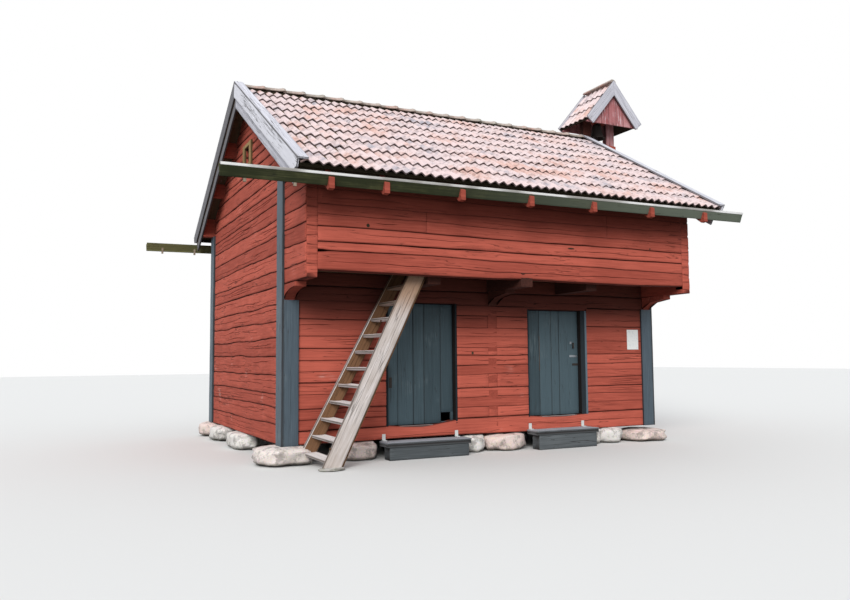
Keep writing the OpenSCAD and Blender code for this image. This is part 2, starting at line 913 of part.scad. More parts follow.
module loft_floor() {
    color("burlywood") translate(place)
        difference() {
            block([log_t, -gallery_out + log_t, loft_floor_z],
                  [house_l - log_t, house_d - log_t, loft_floor_top]);
            block([hatch_right - hatch_l, -stair_front - hatch_gap, loft_floor_z - 1],
                  [hatch_right, -stair_rear + hatch_gap, loft_floor_top + 1]);
        }
}

module upper_gables() {
    color(red) translate(place) both_gables() gable_upper_logs();
}

module gallery_wall() {
    color(red) translate(place)
        difference() {
            wall_x(0, house_l, -gallery_out, gallery_z, plate_z);
            heads_both_ends(-gallery_out, lower_courses, lower_courses + gallery_courses);
            beams_solid();
        }
}

module roof_timbers() {
    color(red) translate(place) {
        plates_solid();
        purlins_solid();
        difference() {
            ridge_solid();
            post_void();
        }
    }
}

// Roof covering
module boards_front() {
    difference() {
        slope_layer(-board_reach, house_l + board_reach, 0, slope_l - eave_back,
                    board_top, roof_stack - seat_gap);
        post_void();
    }
}

module roof_boards_front() {
    color(weathered) translate(place) boards_front();
}

module roof_boards_back() {
    color(weathered) translate(place) at_back() boards_front();
}

module tiles_front() {
    difference() {
        tile_layer_solid();
        post_void();
    }
}

module roof_tiles_front() {
    color(clay) translate(place) tiles_front();
}

module roof_tiles_back() {
    color(clay) translate(place) at_back() tiles_front();
}

module ridge_tiles() {
    color(clay) translate(place) ridge_tile_row();
}

module both_slopes() {
    children();
    at_back() children();
}

module barge_boards() {
    color(weathered) translate(place)
        difference() {
            both_gables() both_slopes()
                slope_layer(-verge_out, -board_reach, 0, slope_l, verge_t, verge_t + barge_d);
            ridge_solid();
            post_void();
            block([-verge_out - 1, -gallery_out - eave_out, barge_end_z - barge_d],
                  [house_l + verge_out + 1, house_d + gallery_out + eave_out, barge_end_z]);
        }
}

module inner_barge_boards() {
    color(weathered) translate(place)
        difference() {
            both_gables() both_slopes()
                slope_layer(-board_reach, -board_reach + verge_t, 0, slope_l - eave_back,
                            roof_stack, verge_t + barge_d + barge_drop);
            ridge_solid(notch_over);
            post_void();
        }
}

module cover_boards() {
    color(weathered) translate(place)
        difference() {
            both_gables() both_slopes()
                slope_layer(-verge_out, cover_w - verge_out, 0, slope_l, 0, verge_t - seat_gap);
            post_void();
        }
}

module fascias() {
    color(slate) translate(place)
        both_slopes()
            slope_layer(-board_reach, house_l + board_reach, slope_l - eave_back,
                        slope_l - eave_back + fascia_t, board_top, board_top + fascia_h);
}

module gutter_outer_planks() {
    color(weathered) translate(place) both_slopes() along_gutter() gutter_outer_outline();
}

module gutter_inner_planks() {
    color(weathered) translate(place) both_slopes() along_gutter() gutter_inner_outline();
}

module gutter_hooks() {
    color(red) translate(place) both_slopes() hooks_front();
}

// Cleats that clamp the two planks together where the gutter runs past the house
module gutter_cleats() {
    color(weathered) translate(place) both_slopes()
        for (x = [-cleat_far, -cleat_near])
            along_x(x, x + cleat_w)
                polygon([
                    [gutter_mid_y, gutter_low_z + fall_at(x)],
                    [gutter_mid_y + gutter_lean / 2, gutter_low_z + gutter_h / 2 + fall_at(x)],
                    [gutter_mid_y + gutter_lean / 2, gutter_low_z - cleat_h + fall_at(x)],
                    [gutter_mid_y, gutter_low_z - cleat_h + fall_at(x)]
                ]);
}

// Trim
module corner_boards() {
    color(slate) translate(place) {
        both_gables() block([0, -corner_board_t, 0], [corner_board_w, 0, corner_board_h]);
        both_gables()
            block([0, house_d, 0], [corner_board_w, house_d + corner_board_t, plate_z]);
    }
}

module gable_corner_boards() {
    color(slate) translate(place) {
        both_gables() block([-corner_board_t, -corner_board_t, 0], [0, gable_board_w, plate_top]);
        both_gables()
            block([-corner_board_t, house_d - gable_board_w, 0],
                  [0, house_d + corner_board_t, plate_z]);
    }
}

module window_frame() {
    difference() {
        block([-window_frame_t, window_y - window_w / 2 - window_frame_w,
               window_z - window_frame_w / 2],
              [0, window_y + window_w / 2 + window_frame_w,
               window_z + window_h + window_frame_w / 2]);
        block([-window_frame_t - 1, window_y - window_w / 2, window_z],
              [1, window_y + window_w / 2, window_z + window_h]);
    }
}

module window_frames() {
    color("tan") translate(place) both_gables() window_frame();
}

module notice_sheet() {
    color("white") translate(place)
        block([house_l - notice_in - notice_w, -notice_t, notice_z],
              [house_l - notice_in, 0, notice_z + notice_h]);
}

// Doors
module jamb(x, width, z0, z1) {
    block([x, 0, z0], [x + width, log_t, z1]);
}

module door_jambs() {
    color(slate) translate(place) {
        jamb(left_door_x, jamb_t, left_door_z, left_door_top);
        jamb(left_door_x + door_w - jamb_t, jamb_t, left_door_z, left_door_top);
        jamb(right_door_x, jamb_t, right_door_z, right_door_top);
        jamb(right_door_x + door_w - latch_post_w, latch_post_w, right_door_z, right_door_top);
    }
}

leaf_y = leaf_recess;
ledge_y = leaf_recess + leaf_t;
strap_y = ledge_y + ledge_t;
strap_t = 5;
plate_t = 6;
leaf_groove = 7;
pin_end = 20;
handle_w = 16;
handle_out = 24;
cat_hole_x = 40;
cat_hole_rise = 28;
foot_boards = 2;
foot_seam = 2;
ledge_in = 45;
eye_r = pin_r + pin_gap + 4;
axis_y = strap_y + eye_r;
eye_x = eye_r + 1;
left_edge_x = left_door_x + door_w - jamb_t - leaf_gap;
right_edge_x = right_door_x + jamb_t + leaf_gap;
left_leaf_w = door_w - 2 * jamb_t - 2 * leaf_gap;
right_leaf_w = door_w - jamb_t - latch_post_w - 2 * leaf_gap;

function strap_heights(z0, z1) = [z0 + (z1 - z0) * 0.2, z0 + (z1 - z0) * 0.8];

// Planks of a leaf, from its hinge line at x = 0 to x = width
module leaf_planks(width, z0, z1) {
    board = width / leaf_boards;
    seams = [
        for (k = [1 : leaf_boards - 1])
            for (p = [[k * board - leaf_groove, leaf_y], [k * board, leaf_y + leaf_groove],
                      [k * board + leaf_groove, leaf_y]]) p
    ];
    translate([0, 0, z0])
        linear_extrude(z1 - z0)
            polygon(concat([[0, leaf_y]], seams,
                           [[width, leaf_y], [width, ledge_y], [0, ledge_y]]));
}

// Plank leaf with two ledges, whose planks start at the given rise above the threshold
module leaf(width, z0, z1, rise = leaf_gap) {
    leaf_planks(width, z0 + rise, z1 - leaf_gap);
    for (z = strap_heights(z0, z1))
        block([ledge_in, ledge_y - 1, z - ledge_h / 2],
              [width - ledge_in, strap_y, z + ledge_h / 2]);
}

// Strap hinges with their eyes on the hinge line
module straps(z0, z1) {
    for (z = strap_heights(z0, z1)) {
        difference() {
            union() {
                translate([eye_x, axis_y, z - strap_h / 2])
                    cylinder(r = eye_r, h = strap_h, $fn = 48);
                block([eye_x, strap_y, z - strap_h / 2],
                      [strap_l, strap_y + strap_t, z + strap_h / 2]);
            }
            translate([eye_x, axis_y, z - strap_h])
                cylinder(r = pin_r + pin_gap, h = 2 * strap_h, $fn = 48);
        }
    }
}

// Pintles: a pin on a short arm that is driven into the jamb beside the leaf
module pintles(z0, z1) {
    for (z = strap_heights(z0, z1)) {
        translate([eye_x, axis_y, z - strap_h / 2 - pin_end])
            cylinder(r = pin_r, h = strap_h + pin_end + plate_t, $fn = 48);
        block([-leaf_gap, axis_y - pin_r, z - strap_h / 2 - pin_end - plate_t],
              [eye_x + pin_r, axis_y + pin_r, z - strap_h / 2 - pin_gap]);
    }
}

module at_left_hinge() {
    translate([left_edge_x, 0, 0]) mirror([1, 0, 0]) children();
}

module at_right_hinge() {
    translate([right_edge_x, 0, 0]) children();
}

// The long planks of the left leaf stand on its foot
module left_door() {
    color(slate) translate(place) at_left_hinge()
        leaf(left_leaf_w, left_door_z, left_door_top, cat_hole_rise + cat_hole_h);
}

// Foot of the left leaf: two short planks around the cat hole and the four beside them
module left_door_foot() {
    seam = foot_boards * left_leaf_w / leaf_boards;
    hole_z = left_door_z + cat_hole_rise;
    color(slate) translate(place) at_left_hinge()
        difference() {
            leaf_planks(left_leaf_w, left_door_z + leaf_gap, hole_z + cat_hole_h);
            block([cat_hole_x, leaf_y - 1, hole_z],
                  [cat_hole_x + cat_hole_w, ledge_y + 1, hole_z + cat_hole_h + 1]);
            block([seam - foot_seam / 2, leaf_y - 1, left_door_z],
                  [seam + foot_seam / 2, ledge_y + 1, hole_z + cat_hole_h + 1]);
        }
}

module right_door() {
    color(slate) translate(place) at_right_hinge()
        leaf(right_leaf_w, right_door_z, right_door_top);
}

module left_door_ironwork() {
    color(iron) translate(place) at_left_hinge() {
        straps(left_door_z, left_door_top);
        block([left_leaf_w - latch_in - latch_w, leaf_y - plate_t, left_door_z + latch_rise],
              [left_leaf_w - latch_in, leaf_y, left_door_z + latch_rise + latch_h]);
    }
}

module right_door_ironwork() {
    color(iron) translate(place) at_right_hinge() {
        straps(right_door_z, right_door_top);
        block([right_leaf_w - leaf_gap - hasp_l, leaf_y - plate_t, right_door_z + hasp_rise],
              [right_leaf_w - leaf_gap, leaf_y, right_door_z + hasp_rise + hasp_h]);
        block([right_leaf_w - hasp_l, leaf_y - handle_out, right_door_z + handle_rise],
              [right_leaf_w - hasp_l + handle_w, leaf_y, right_door_z + handle_rise + handle_h]);
    }
}

module door_pintles() {
    color(iron) translate(place) {
        at_left_hinge() pintles(left_door_z, left_door_top);
        at_right_hinge() pintles(right_door_z, right_door_top);
    }
}

// Door steps: a block and a plank, held to the wall by two brackets
module step_block(s) {
    y0 = -step_d;
    block([s[0] + step_block_in, y0, -foundation_h],
          [s[1] - step_block_in, y0 + step_block_d, s[2] - step_t]);
}

module step_blocks() {
    color(slate) translate(place)
        for (s = [left_step, right_step]) step_block(s);
}

module step_planks() {
    color(slate) translate(place)
        for (s = [left_step, right_step])
            block([s[0], -step_gap - step_d, s[2] - step_t], [s[1], -step_gap, s[2]]);
}

module step_brackets() {
    color("white") translate(place)
        for (s = [left_step, right_step])
            for (x = [s[0] + bracket_in, s[1] - bracket_in - bracket_w]) {
                block([x, -bracket_t, s[2]], [x + bracket_w, 0, s[2] + bracket_h]);
                block([x, -step_gap - bracket_w, s[2]],
                      [x + bracket_w, -bracket_t, s[2] + bracket_t]);
            }
}

// Stair
module stringer(foot_x, y0, y1, foot_z) {
    run = hatch_right - foot_x - stringer_w;
    rise = loft_floor_top - foot_z;
    slant = sqrt(run * run + rise * rise);
    width_x = stringer_w * slant / rise;
    top_z = foot_z + (hatch_right - foot_x - width_x) / run * rise;
    along_y(y0, y1)
        polygon([
            [foot_x, foot_z], [foot_x + width_x, foot_z],
            [hatch_right, top_z], [hatch_right, loft_floor_top],
            [foot_x + run, loft_floor_top]
        ]);
}

function stringer_x(foot_x, foot_z, z) =
    foot_x + (z - foot_z) * (hatch_right - foot_x - stringer_w) / (loft_floor_top - foot_z);

front_foot_z = -foundation_h + slab_t;
rear_foot_z = first_tread - tread_t;

module stair_stringers() {
    color("tan") translate(place) {
        stringer(stair_foot_x, -stair_front, -stair_front + stringer_t, front_foot_z);
        stringer(stair_rear_foot_x, -stair_rear - stringer_t, -stair_rear, rear_foot_z);
    }
}

module stair_treads() {
    y0 = -stair_front + stringer_t;
    y1 = -stair_rear - stringer_t;
    color("tan") translate(place)
        for (k = [0 : tread_count - 1]) {
            z = first_tread + k * tread_rise;
            xf = stringer_x(stair_foot_x, front_foot_z, z) + tread_in;
            xr = stringer_x(stair_rear_foot_x, rear_foot_z, z) + tread_in;
            translate([0, 0, z - tread_t])
                linear_extrude(tread_t)
                    polygon([[xf, y0], [xf + stringer_w, y0], [xr + stringer_w, y1], [xr, y1]]);
        }
}

// Bell turret on the ridge beam, outside the right gable
module on_turret() {
    translate([turret_x, ridge_y, 0]) children();
}

module both_sides() {
    children();
    mirror([1, 0, 0]) children();
}

// Posts with a rail on each, bored for the bell's pins
module turret_frame() {
    color(red) translate(place) on_turret()
        for (x = [left_post_x, right_post_x]) {
            inner_x = x < right_post_x ? x + post_w - journal_depth : x - 1;
            difference() {
                along_y(-post_d / 2, post_d / 2)
                    polygon([[x, beam_top_flat], [x + post_w, beam_top_flat],
                             [x + post_w, turret_under(x + post_w)], [x, turret_under(x)]]);
                translate([inner_x, 0, bell_axis_z]) rotate([0, 90, 0])
                    cylinder(r = journal_r + pin_gap, h = journal_depth + 1, $fn = 48);
            }
            turret_rail(x + (post_w - rail_w) / 2);
        }
}

function turret_under(d) = turret_under_apex - abs(d) * tan(turret_pitch);

module turret_rail(x) {
    low = min(turret_under(x), turret_under(x + rail_w)) - rail_h;
    along_y(-turret_l / 2 + turret_gable_in, turret_l / 2 - turret_gable_in)
        polygon([[x, low], [x + rail_w, low], [x + rail_w, turret_under(x + rail_w)],
                 [x, turret_under(x)]]);
}

// One slope of the turret roof, between depths n0 and n1 under its upper plane
module turret_slope(y0, y1, n0, n1) {
    c = cos(turret_pitch);
    s = sin(turret_pitch);
    length = turret_w / 2 / c;
    both_sides()
        along_y(y0, y1)
            polygon([
                [0, turret_top - n0 / c],
                [length * c - n0 * s, turret_top - length * s - n0 * c],
                [length * c - n1 * s, turret_top - length * s - n1 * c],
                [0, turret_top - n1 / c]
            ]);
}

module turret_tiles() {
    color(clay) translate(place) on_turret()
        turret_slope(-turret_l / 2 + verge_t, turret_l / 2 - verge_t, 0,
                     turret_tile_t - seat_gap);
}

module turret_roof_boards() {
    color(weathered) translate(place) on_turret()
        turret_slope(-turret_l / 2 + verge_t, turret_l / 2 - verge_t, turret_tile_t,
                     turret_stack - seat_gap);
}

module turret_barge_boards() {
    color(weathered) translate(place) on_turret() {
        turret_slope(-turret_l / 2, -turret_l / 2 + verge_t, 0, turret_barge_d);
        turret_slope(turret_l / 2 - verge_t, turret_l / 2, 0, turret_barge_d);
    }
}

module turret_gables() {
    low = turret_top - turret_gable_drop;
    w = (turret_under_apex - low) / tan(turret_pitch);
    color(red) translate(place) on_turret()
        for (side = [0, 1]) mirror([0, side, 0])
            along_y(-turret_l / 2 + turret_gable_in - verge_t, -turret_l / 2 + turret_gable_in)
                polygon([[-w, low], [w, low], [0, turret_under_apex]]);
}

// Bell: a turned shell with a wooden yoke above it and a clapper inside
bell_top_z = bell_axis_z - yoke_drop;

module bell_shell() {
    rotate_extrude($fn = 96)
        polygon([
            [0, 0], [bell_r * 0.3, 0], [bell_r * 0.45, -bell_crown_t * 0.4],
            [bell_r * 0.56, -bell_h * 0.13], [bell_r * 0.62, -bell_h * 0.5],
            [bell_r * 0.76, -bell_h * 0.82], [bell_r, -bell_h],
            [bell_r - bell_wall, -bell_h],
            [bell_r * 0.76 - bell_wall, -bell_h * 0.8],
            [bell_r * 0.62 - bell_wall, -bell_h * 0.5],
            [bell_r * 0.56 - bell_wall, -bell_h * 0.15],
            [bell_r * 0.3, -bell_crown_t], [0, -bell_crown_t]
        ]);
}

module on_bell() {
    on_turret() translate([-post_shift, 0, 0]) children();
}

module bell() {
    color(iron) translate(place) on_bell() translate([0, 0, bell_top_z]) bell_shell();
}

module bell_yoke() {
    reach = post_gap / 2 - yoke_gap;
    color(red) translate(place) on_bell() {
        block([-reach, -yoke_w / 2, bell_top_z], [reach, yoke_w / 2, bell_axis_z + yoke_w * 0.45]);
        both_sides()
            translate([reach - 1, 0, bell_axis_z]) rotate([0, 90, 0])
                cylinder(r = journal_r, h = journal_depth - yoke_gap + 1, $fn = 48);
    }
}

module bell_clapper() {
    ball_z = bell_top_z - bell_h * 0.86;
    color(iron) translate(place) on_bell() translate([0, 0, ball_z]) {
        cylinder(r = clapper_rod_r, h = bell_top_z - bell_crown_t - ball_z, $fn = 32);
        sphere(clapper_r, $fn = 48);
    }
}

corner_stones();
field_stones();
front_sill();
front_wall_piers();
front_wall_head();
lower_gables();
back_wall();
partition_wall();
gallery_corbels();
floor_beams();
ground_floor();
loft_floor();
upper_gables();
gallery_wall();
roof_timbers();
roof_boards_front();
roof_boards_back();
roof_tiles_front();
roof_tiles_back();
ridge_tiles();
barge_boards();
inner_barge_boards();
cover_boards();
fascias();
gutter_outer_planks();
gutter_inner_planks();
gutter_hooks();
gutter_cleats();
corner_boards();
gable_corner_boards();
door_jambs();
door_pintles();
left_door();
left_door_foot();
left_door_ironwork();
right_door();
right_door_ironwork();
step_blocks();
step_planks();
step_brackets();
notice_sheet();
window_frames();
stair_stringers();
stair_treads();
turret_frame();
turret_roof_boards();
turret_tiles();
turret_gables();
turret_barge_boards();
bell();
bell_yoke();
bell_clapper();
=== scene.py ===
"""Looks of a raised granary in the frame of its CAD model: log walls, clay tiles, boards,
stones, stair and bell turret."""

import math
from functools import partial

import bpy
import numpy as np
from bpy.props import (BoolProperty, FloatProperty, FloatVectorProperty, IntProperty,
                       PointerProperty)
from mathutils import Matrix, Vector


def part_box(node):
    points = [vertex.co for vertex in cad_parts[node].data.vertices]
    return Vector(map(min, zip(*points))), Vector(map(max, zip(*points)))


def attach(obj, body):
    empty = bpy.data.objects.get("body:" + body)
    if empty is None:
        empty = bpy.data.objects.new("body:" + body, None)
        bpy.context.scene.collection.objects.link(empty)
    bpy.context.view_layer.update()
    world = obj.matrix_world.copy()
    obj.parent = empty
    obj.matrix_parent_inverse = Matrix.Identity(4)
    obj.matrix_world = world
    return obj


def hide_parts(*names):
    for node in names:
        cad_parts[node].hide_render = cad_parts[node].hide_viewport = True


bl_info = {
    "name": "Raised granary",
    "version": (1, 0, 0),
    "blender": (4, 5, 0),
    "location": "View3D > Sidebar > Granary",
    "description": "Builds the looks of a log granary around its CAD frame",
    "category": "Object",
}

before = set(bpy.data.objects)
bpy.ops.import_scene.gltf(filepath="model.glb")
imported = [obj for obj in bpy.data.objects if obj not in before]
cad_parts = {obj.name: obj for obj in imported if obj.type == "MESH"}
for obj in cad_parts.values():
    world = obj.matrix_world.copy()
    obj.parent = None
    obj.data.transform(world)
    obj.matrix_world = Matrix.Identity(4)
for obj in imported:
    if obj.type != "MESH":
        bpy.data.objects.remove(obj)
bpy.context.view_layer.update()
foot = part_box("front_sill")[0]

X = Vector((1, 0, 0))
Y = Vector((0, 1, 0))
Z = Vector((0, 0, 1))

# Sizes of the CAD frame in metres: x from the left gable, y from the outside of the lower
# front wall, z from the wall foot
HOUSE_L = 5.6
HOUSE_D = 4.15
GALLERY = 0.83
LOG_T = 0.135
COURSE = 0.209
LOFT_Z = 1.881
LOFT_FLOOR_Z = 2.051
PLATE_Z = 3.0305
PLATE_TOP = 3.2395
RIDGE_Y = 1.66
RIDGE_Z = 4.84812
PITCH = math.radians(30.95)
SLOPE_L = 3.438
GROUND = -0.215
DOOR_W = 1.008
LEFT_DOOR_X = 1.307
RIGHT_DOOR_X = 3.416
LEFT_END = LEFT_DOOR_X + DOOR_W
RIGHT_END = RIGHT_DOOR_X + DOOR_W
LEFT_DOOR_Z = (0.168, 1.708)
RIGHT_DOOR_Z = (0.205, 1.661)
WINDOW_Y = (1.649, 1.901)
WINDOW_Z = (3.733, 3.967)
VERGE = 0.237
# the roof above its timbers, square to the slope
STACK = 0.099
COS_P = math.cos(PITCH)
SIN_P = math.sin(PITCH)
TAN_P = math.tan(PITCH)
# the underside of the roof boards at the ridge
UNDER_RIDGE = RIDGE_Z - STACK / COS_P


def place(x, y, z):
    """A point given from the wall foot, in the frame's coordinates."""
    return foot + Vector((x, y, z))


def slope(toward, pitch=PITCH):
    """The way down a slope that falls toward a side, and its outward normal."""
    cos, sin = math.cos(pitch), math.sin(pitch)
    return toward * cos - Z * sin, toward * sin + Z * cos


def linear(code):
    """An sRGB hex colour as linear values."""
    values = [int(code[i:i + 2], 16) / 255 for i in (1, 3, 5)]
    return [v / 12.92 if v <= 0.04045 else ((v + 0.055) / 1.055) ** 2.4 for v in values]


def colour(name, code, description):
    return FloatVectorProperty(name=name, description=description, subtype="COLOR",
                               size=3, min=0, max=1, default=linear(code))


class GranaryColours(bpy.types.PropertyGroup):
    red: colour("Red paint", "#C56453", "Iron-oxide distemper on the logs")
    red_dark: colour("Red paint, worn", "#97473A", "Thin and rain-washed places in the red")
    # the seam colour also paints the shade on the rounded log edges and in the cracks
    seam: colour("Seams", "#1D0C0A", "Dark of the joints between the logs")
    bare_log: colour("Bare log", "#D2B4AC", "Weathered wood where the red has gone")
    slate: colour("Slate paint", "#5B6A75", "Paint of the doors and corner boards")
    slate_dark: colour("Slate paint, dark", "#414E58", "Grain and dirt in the slate paint")
    silver: colour("Silvered wood", "#E2E2EA", "Unpainted boards after many years")
    silver_dark: colour("Silvered wood, dark", "#ACACB6", "Grain of the silvered boards")
    gutter: colour("Gutter wood", "#6A6A48", "Green-grey planks of the gutters")
    gutter_dark: colour("Gutter wood, dark", "#2E3220", "Algae and damp in the gutters")
    stair: colour("Stair wood", "#F0EAEA", "Bare trodden wood of the stair")
    stair_dark: colour("Stair wood, dark", "#B4A8A0", "Brown grain of the stair")
    tile: colour("Clay tile", "#E4D0D0", "Pale pink clay of most tiles")
    tile_warm: colour("Clay tile, warm", "#DCB6AC", "Redder tiles among the others")
    tile_grey: colour("Clay tile, weathered", "#A8A6B0", "Greyed and lichened tiles")
    # the dark tile colour also paints the shade under each course's edge and under the
    # tiles
    tile_dark: colour("Clay tile, dark", "#4E3E3C", "Soot and moss on the tiles")
    granite: colour("Granite", "#E0DCD8", "Field stones")
    granite_pink: colour("Pink granite", "#E2CFC8", "Pink field stones")
    iron: colour("Old iron", "#3A3431", "Hinges, latch and bell")
    paper: colour("Paper", "#E9EAE8", "Bare sheet on the wall")


class GranarySizes(bpy.types.PropertyGroup):
    log_gap: FloatProperty(name="Log gap", description="Open joint between two logs",
                           default=0.006, min=0, max=0.03, unit="LENGTH")
    log_wave: FloatProperty(name="Log wave", description="How far the log joints wander",
                            default=0.010, min=0, max=0.04, unit="LENGTH")
    tile_pitch: FloatProperty(name="Tile width", description="Width that one tile covers",
                              default=0.2389, min=0.15, max=0.4, unit="LENGTH")
    tile_roll: FloatProperty(name="Tile roll", description="Height of the rolls of a tile",
                             default=0.036, min=0.005, max=0.05, unit="LENGTH")
    tile_courses: IntProperty(name="Tile courses", description="Courses on each slope",
                              default=9, min=4, max=20)
    tile_tilt: FloatProperty(name="Tile tilt", description="Uneven lie of single tiles",
                             default=math.radians(0.7), min=0, max=0.1, subtype="ANGLE")
    show_floor: BoolProperty(name="Floor", description="Pale floor under the granary",
                             default=True)


# Noise

def lattice(ix, iy, seed):
    """Fixed values between -1 and 1 at whole places."""
    n = (ix * 374761393 + iy * 668265263 + seed * 974711) & 0xFFFFFFFF
    n = ((n ^ (n >> 13)) * 1274126177) & 0xFFFFFFFF
    return ((n ^ (n >> 16)) & 0xFFFF) / 32767.5 - 1


def noise(x, y, seed):
    """Smooth noise between -1 and 1 on arrays."""
    x, y = np.broadcast_arrays(np.asarray(x, float), np.asarray(y, float))
    ix, iy = np.floor(x).astype(np.int64), np.floor(y).astype(np.int64)
    fx, fy = x - ix, y - iy
    fx, fy = fx * fx * (3 - 2 * fx), fy * fy * (3 - 2 * fy)
    low = lattice(ix, iy, seed) * (1 - fx) + lattice(ix + 1, iy, seed) * fx
    high = lattice(ix, iy + 1, seed) * (1 - fx) + lattice(ix + 1, iy + 1, seed) * fx
    return low * (1 - fy) + high * fy


def rough(x, y, seed):
    """Noise in three sizes, as a hewn or broken face has."""
    return 0.6 * noise(x, y, seed) + 0.3 * noise(2.1 * x, 2.3 * y, seed + 7) \
        + 0.15 * noise(4.7 * x, 4.3 * y, seed + 13)


# Meshes

class Shape:
    """Collects swept bars and prisms, then makes one mesh with grain UVs, tone, and dirt
    with painted shade.
    """

    def __init__(self):
        self.points, self.faces, self.uvs = [], [], []
        self.tones, self.dirts = [], []
        self.count = 0

    def sweep(self, rings, across, runs, tone, dirt, strip=False):
        """Rings of points with caps. across is each ring point's place along the outline,
        one more than the points, and runs is each ring's place along the grain. A strip's
        outline runs out along one face and back along the other."""
        s, r = rings.shape[:2]
        base = self.count
        mids = np.zeros((0, 3))
        if not strip:
            mids = np.stack([rings[0].mean(0), rings[-1].mean(0)])
        self.points.append(np.concatenate([rings.reshape(-1, 3), mids]))
        self.count += s * r + len(mids)
        self.tones.append(np.full(s * r + len(mids), tone))
        self.dirts.append(np.concatenate([np.asarray(dirt, float).reshape(-1),
                                          np.full(len(mids), .3)]))
        index = base + np.arange(s * r).reshape(s, r)
        nxt = np.roll(index, -1, axis=1)
        quads = np.stack([index[:-1], nxt[:-1], nxt[1:], index[1:]], axis=-1).reshape(-1, 4)
        a0, a1 = across[:-1], across[1:]
        u0 = np.broadcast_to(runs[:-1, None], (s - 1, r))
        u1 = np.broadcast_to(runs[1:, None], (s - 1, r))
        v0 = np.broadcast_to(a0, (s - 1, r))
        v1 = np.broadcast_to(a1, (s - 1, r))
        quad_uv = np.stack([np.stack([u0, v0], -1), np.stack([u0, v1], -1),
                            np.stack([u1, v1], -1), np.stack([u1, v0], -1)], axis=2)
        self.faces.append(quads)
        self.uvs.append(quad_uv.reshape(-1, 2))
        if strip:
            k = np.arange(r // 2 - 1)
            for ring, run, way in ((index[0], runs[0], -1), (index[-1], runs[-1], 1)):
                quad = np.stack([k, k + 1, r - 2 - k, r - 1 - k], 1)[:, ::way]
                self.faces.append(ring[quad])
                self.uvs.append(np.stack([np.full(quad.size, run),
                                          across[quad.reshape(-1)]], -1))
            return
        for ring, mid, flip in ((index[0], base + s * r, True),
                                (index[-1], base + s * r + 1, False)):
            pair = np.stack([ring, np.roll(ring, -1)], axis=1)
            if flip:
                pair = pair[:, ::-1]
            fan = np.concatenate([pair, np.full((r, 1), mid)], axis=1)
            spread = np.stack([np.full(r, runs[0]), a0], -1)
            turned = np.stack([np.full(r, runs[0]), a1], -1)
            centre = np.stack([np.full(r, runs[0] + 0.03), (a0 + a1) / 2], -1)
            first, second = (turned, spread) if flip else (spread, turned)
            self.faces.append(fan)
            self.uvs.append(np.stack([first, second, centre], axis=1).reshape(-1, 2))

    def finish(self, name, key, body="building", replaces=(), slot=None, sharp=38):
        """Makes the mesh with a finish. Bends over sharp, in degrees, stay hard edges."""
        points = np.concatenate(self.points)
        mesh = bpy.data.meshes.new(name)
        corners = np.concatenate([f.reshape(-1) for f in self.faces])
        totals = np.concatenate([np.full(len(f), f.shape[1]) for f in self.faces])
        starts = np.concatenate([[0], np.cumsum(totals)[:-1]])
        mesh.vertices.add(len(points))
        mesh.vertices.foreach_set("co", points.astype(np.float32).reshape(-1))
        mesh.loops.add(len(corners))
        mesh.loops.foreach_set("vertex_index", corners.astype(np.int32))
        mesh.polygons.add(len(totals))
        mesh.polygons.foreach_set("loop_start", starts.astype(np.int32))
        mesh.polygons.foreach_set("loop_total", totals.astype(np.int32))
        mesh.update(calc_edges=True)
        mesh.uv_layers.new(name="grain")
        mesh.uv_layers["grain"].data.foreach_set(
            "uv", np.concatenate(self.uvs).astype(np.float32).reshape(-1))
        for label, values in (("tone", self.tones), ("dirt", self.dirts)):
            layer = mesh.attributes.new(label, "FLOAT", "POINT")
            layer.data.foreach_set("value", np.concatenate(values).astype(np.float32))
        mesh.polygons.foreach_set("use_smooth", np.ones(len(totals), bool))
        mesh.set_sharp_from_angle(angle=math.radians(sharp))
        obj = linked(name, mesh)
        if key:
            mesh.materials.append(finish_of(key))
        if body:
            fit(obj, body, replaces)
        return obj


def linked(name, data):
    """A new object in the scene."""
    obj = bpy.data.objects.new(name, data)
    bpy.context.scene.collection.objects.link(obj)
    return obj


def fit(obj, body, replaces=()):
    """Lets a finished piece ride on its body and stand for CAD nodes."""
    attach(obj, body)
    if replaces:
        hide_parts(*replaces)
    return obj


def value_at(spec, u):
    """A height given as a number, as (place, height) pairs or as a function of u."""
    if callable(spec):
        return spec(u)
    if isinstance(spec, (int, float)):
        return np.full_like(u, spec)
    return np.interp(u, [p[0] for p in spec], [p[1] for p in spec])


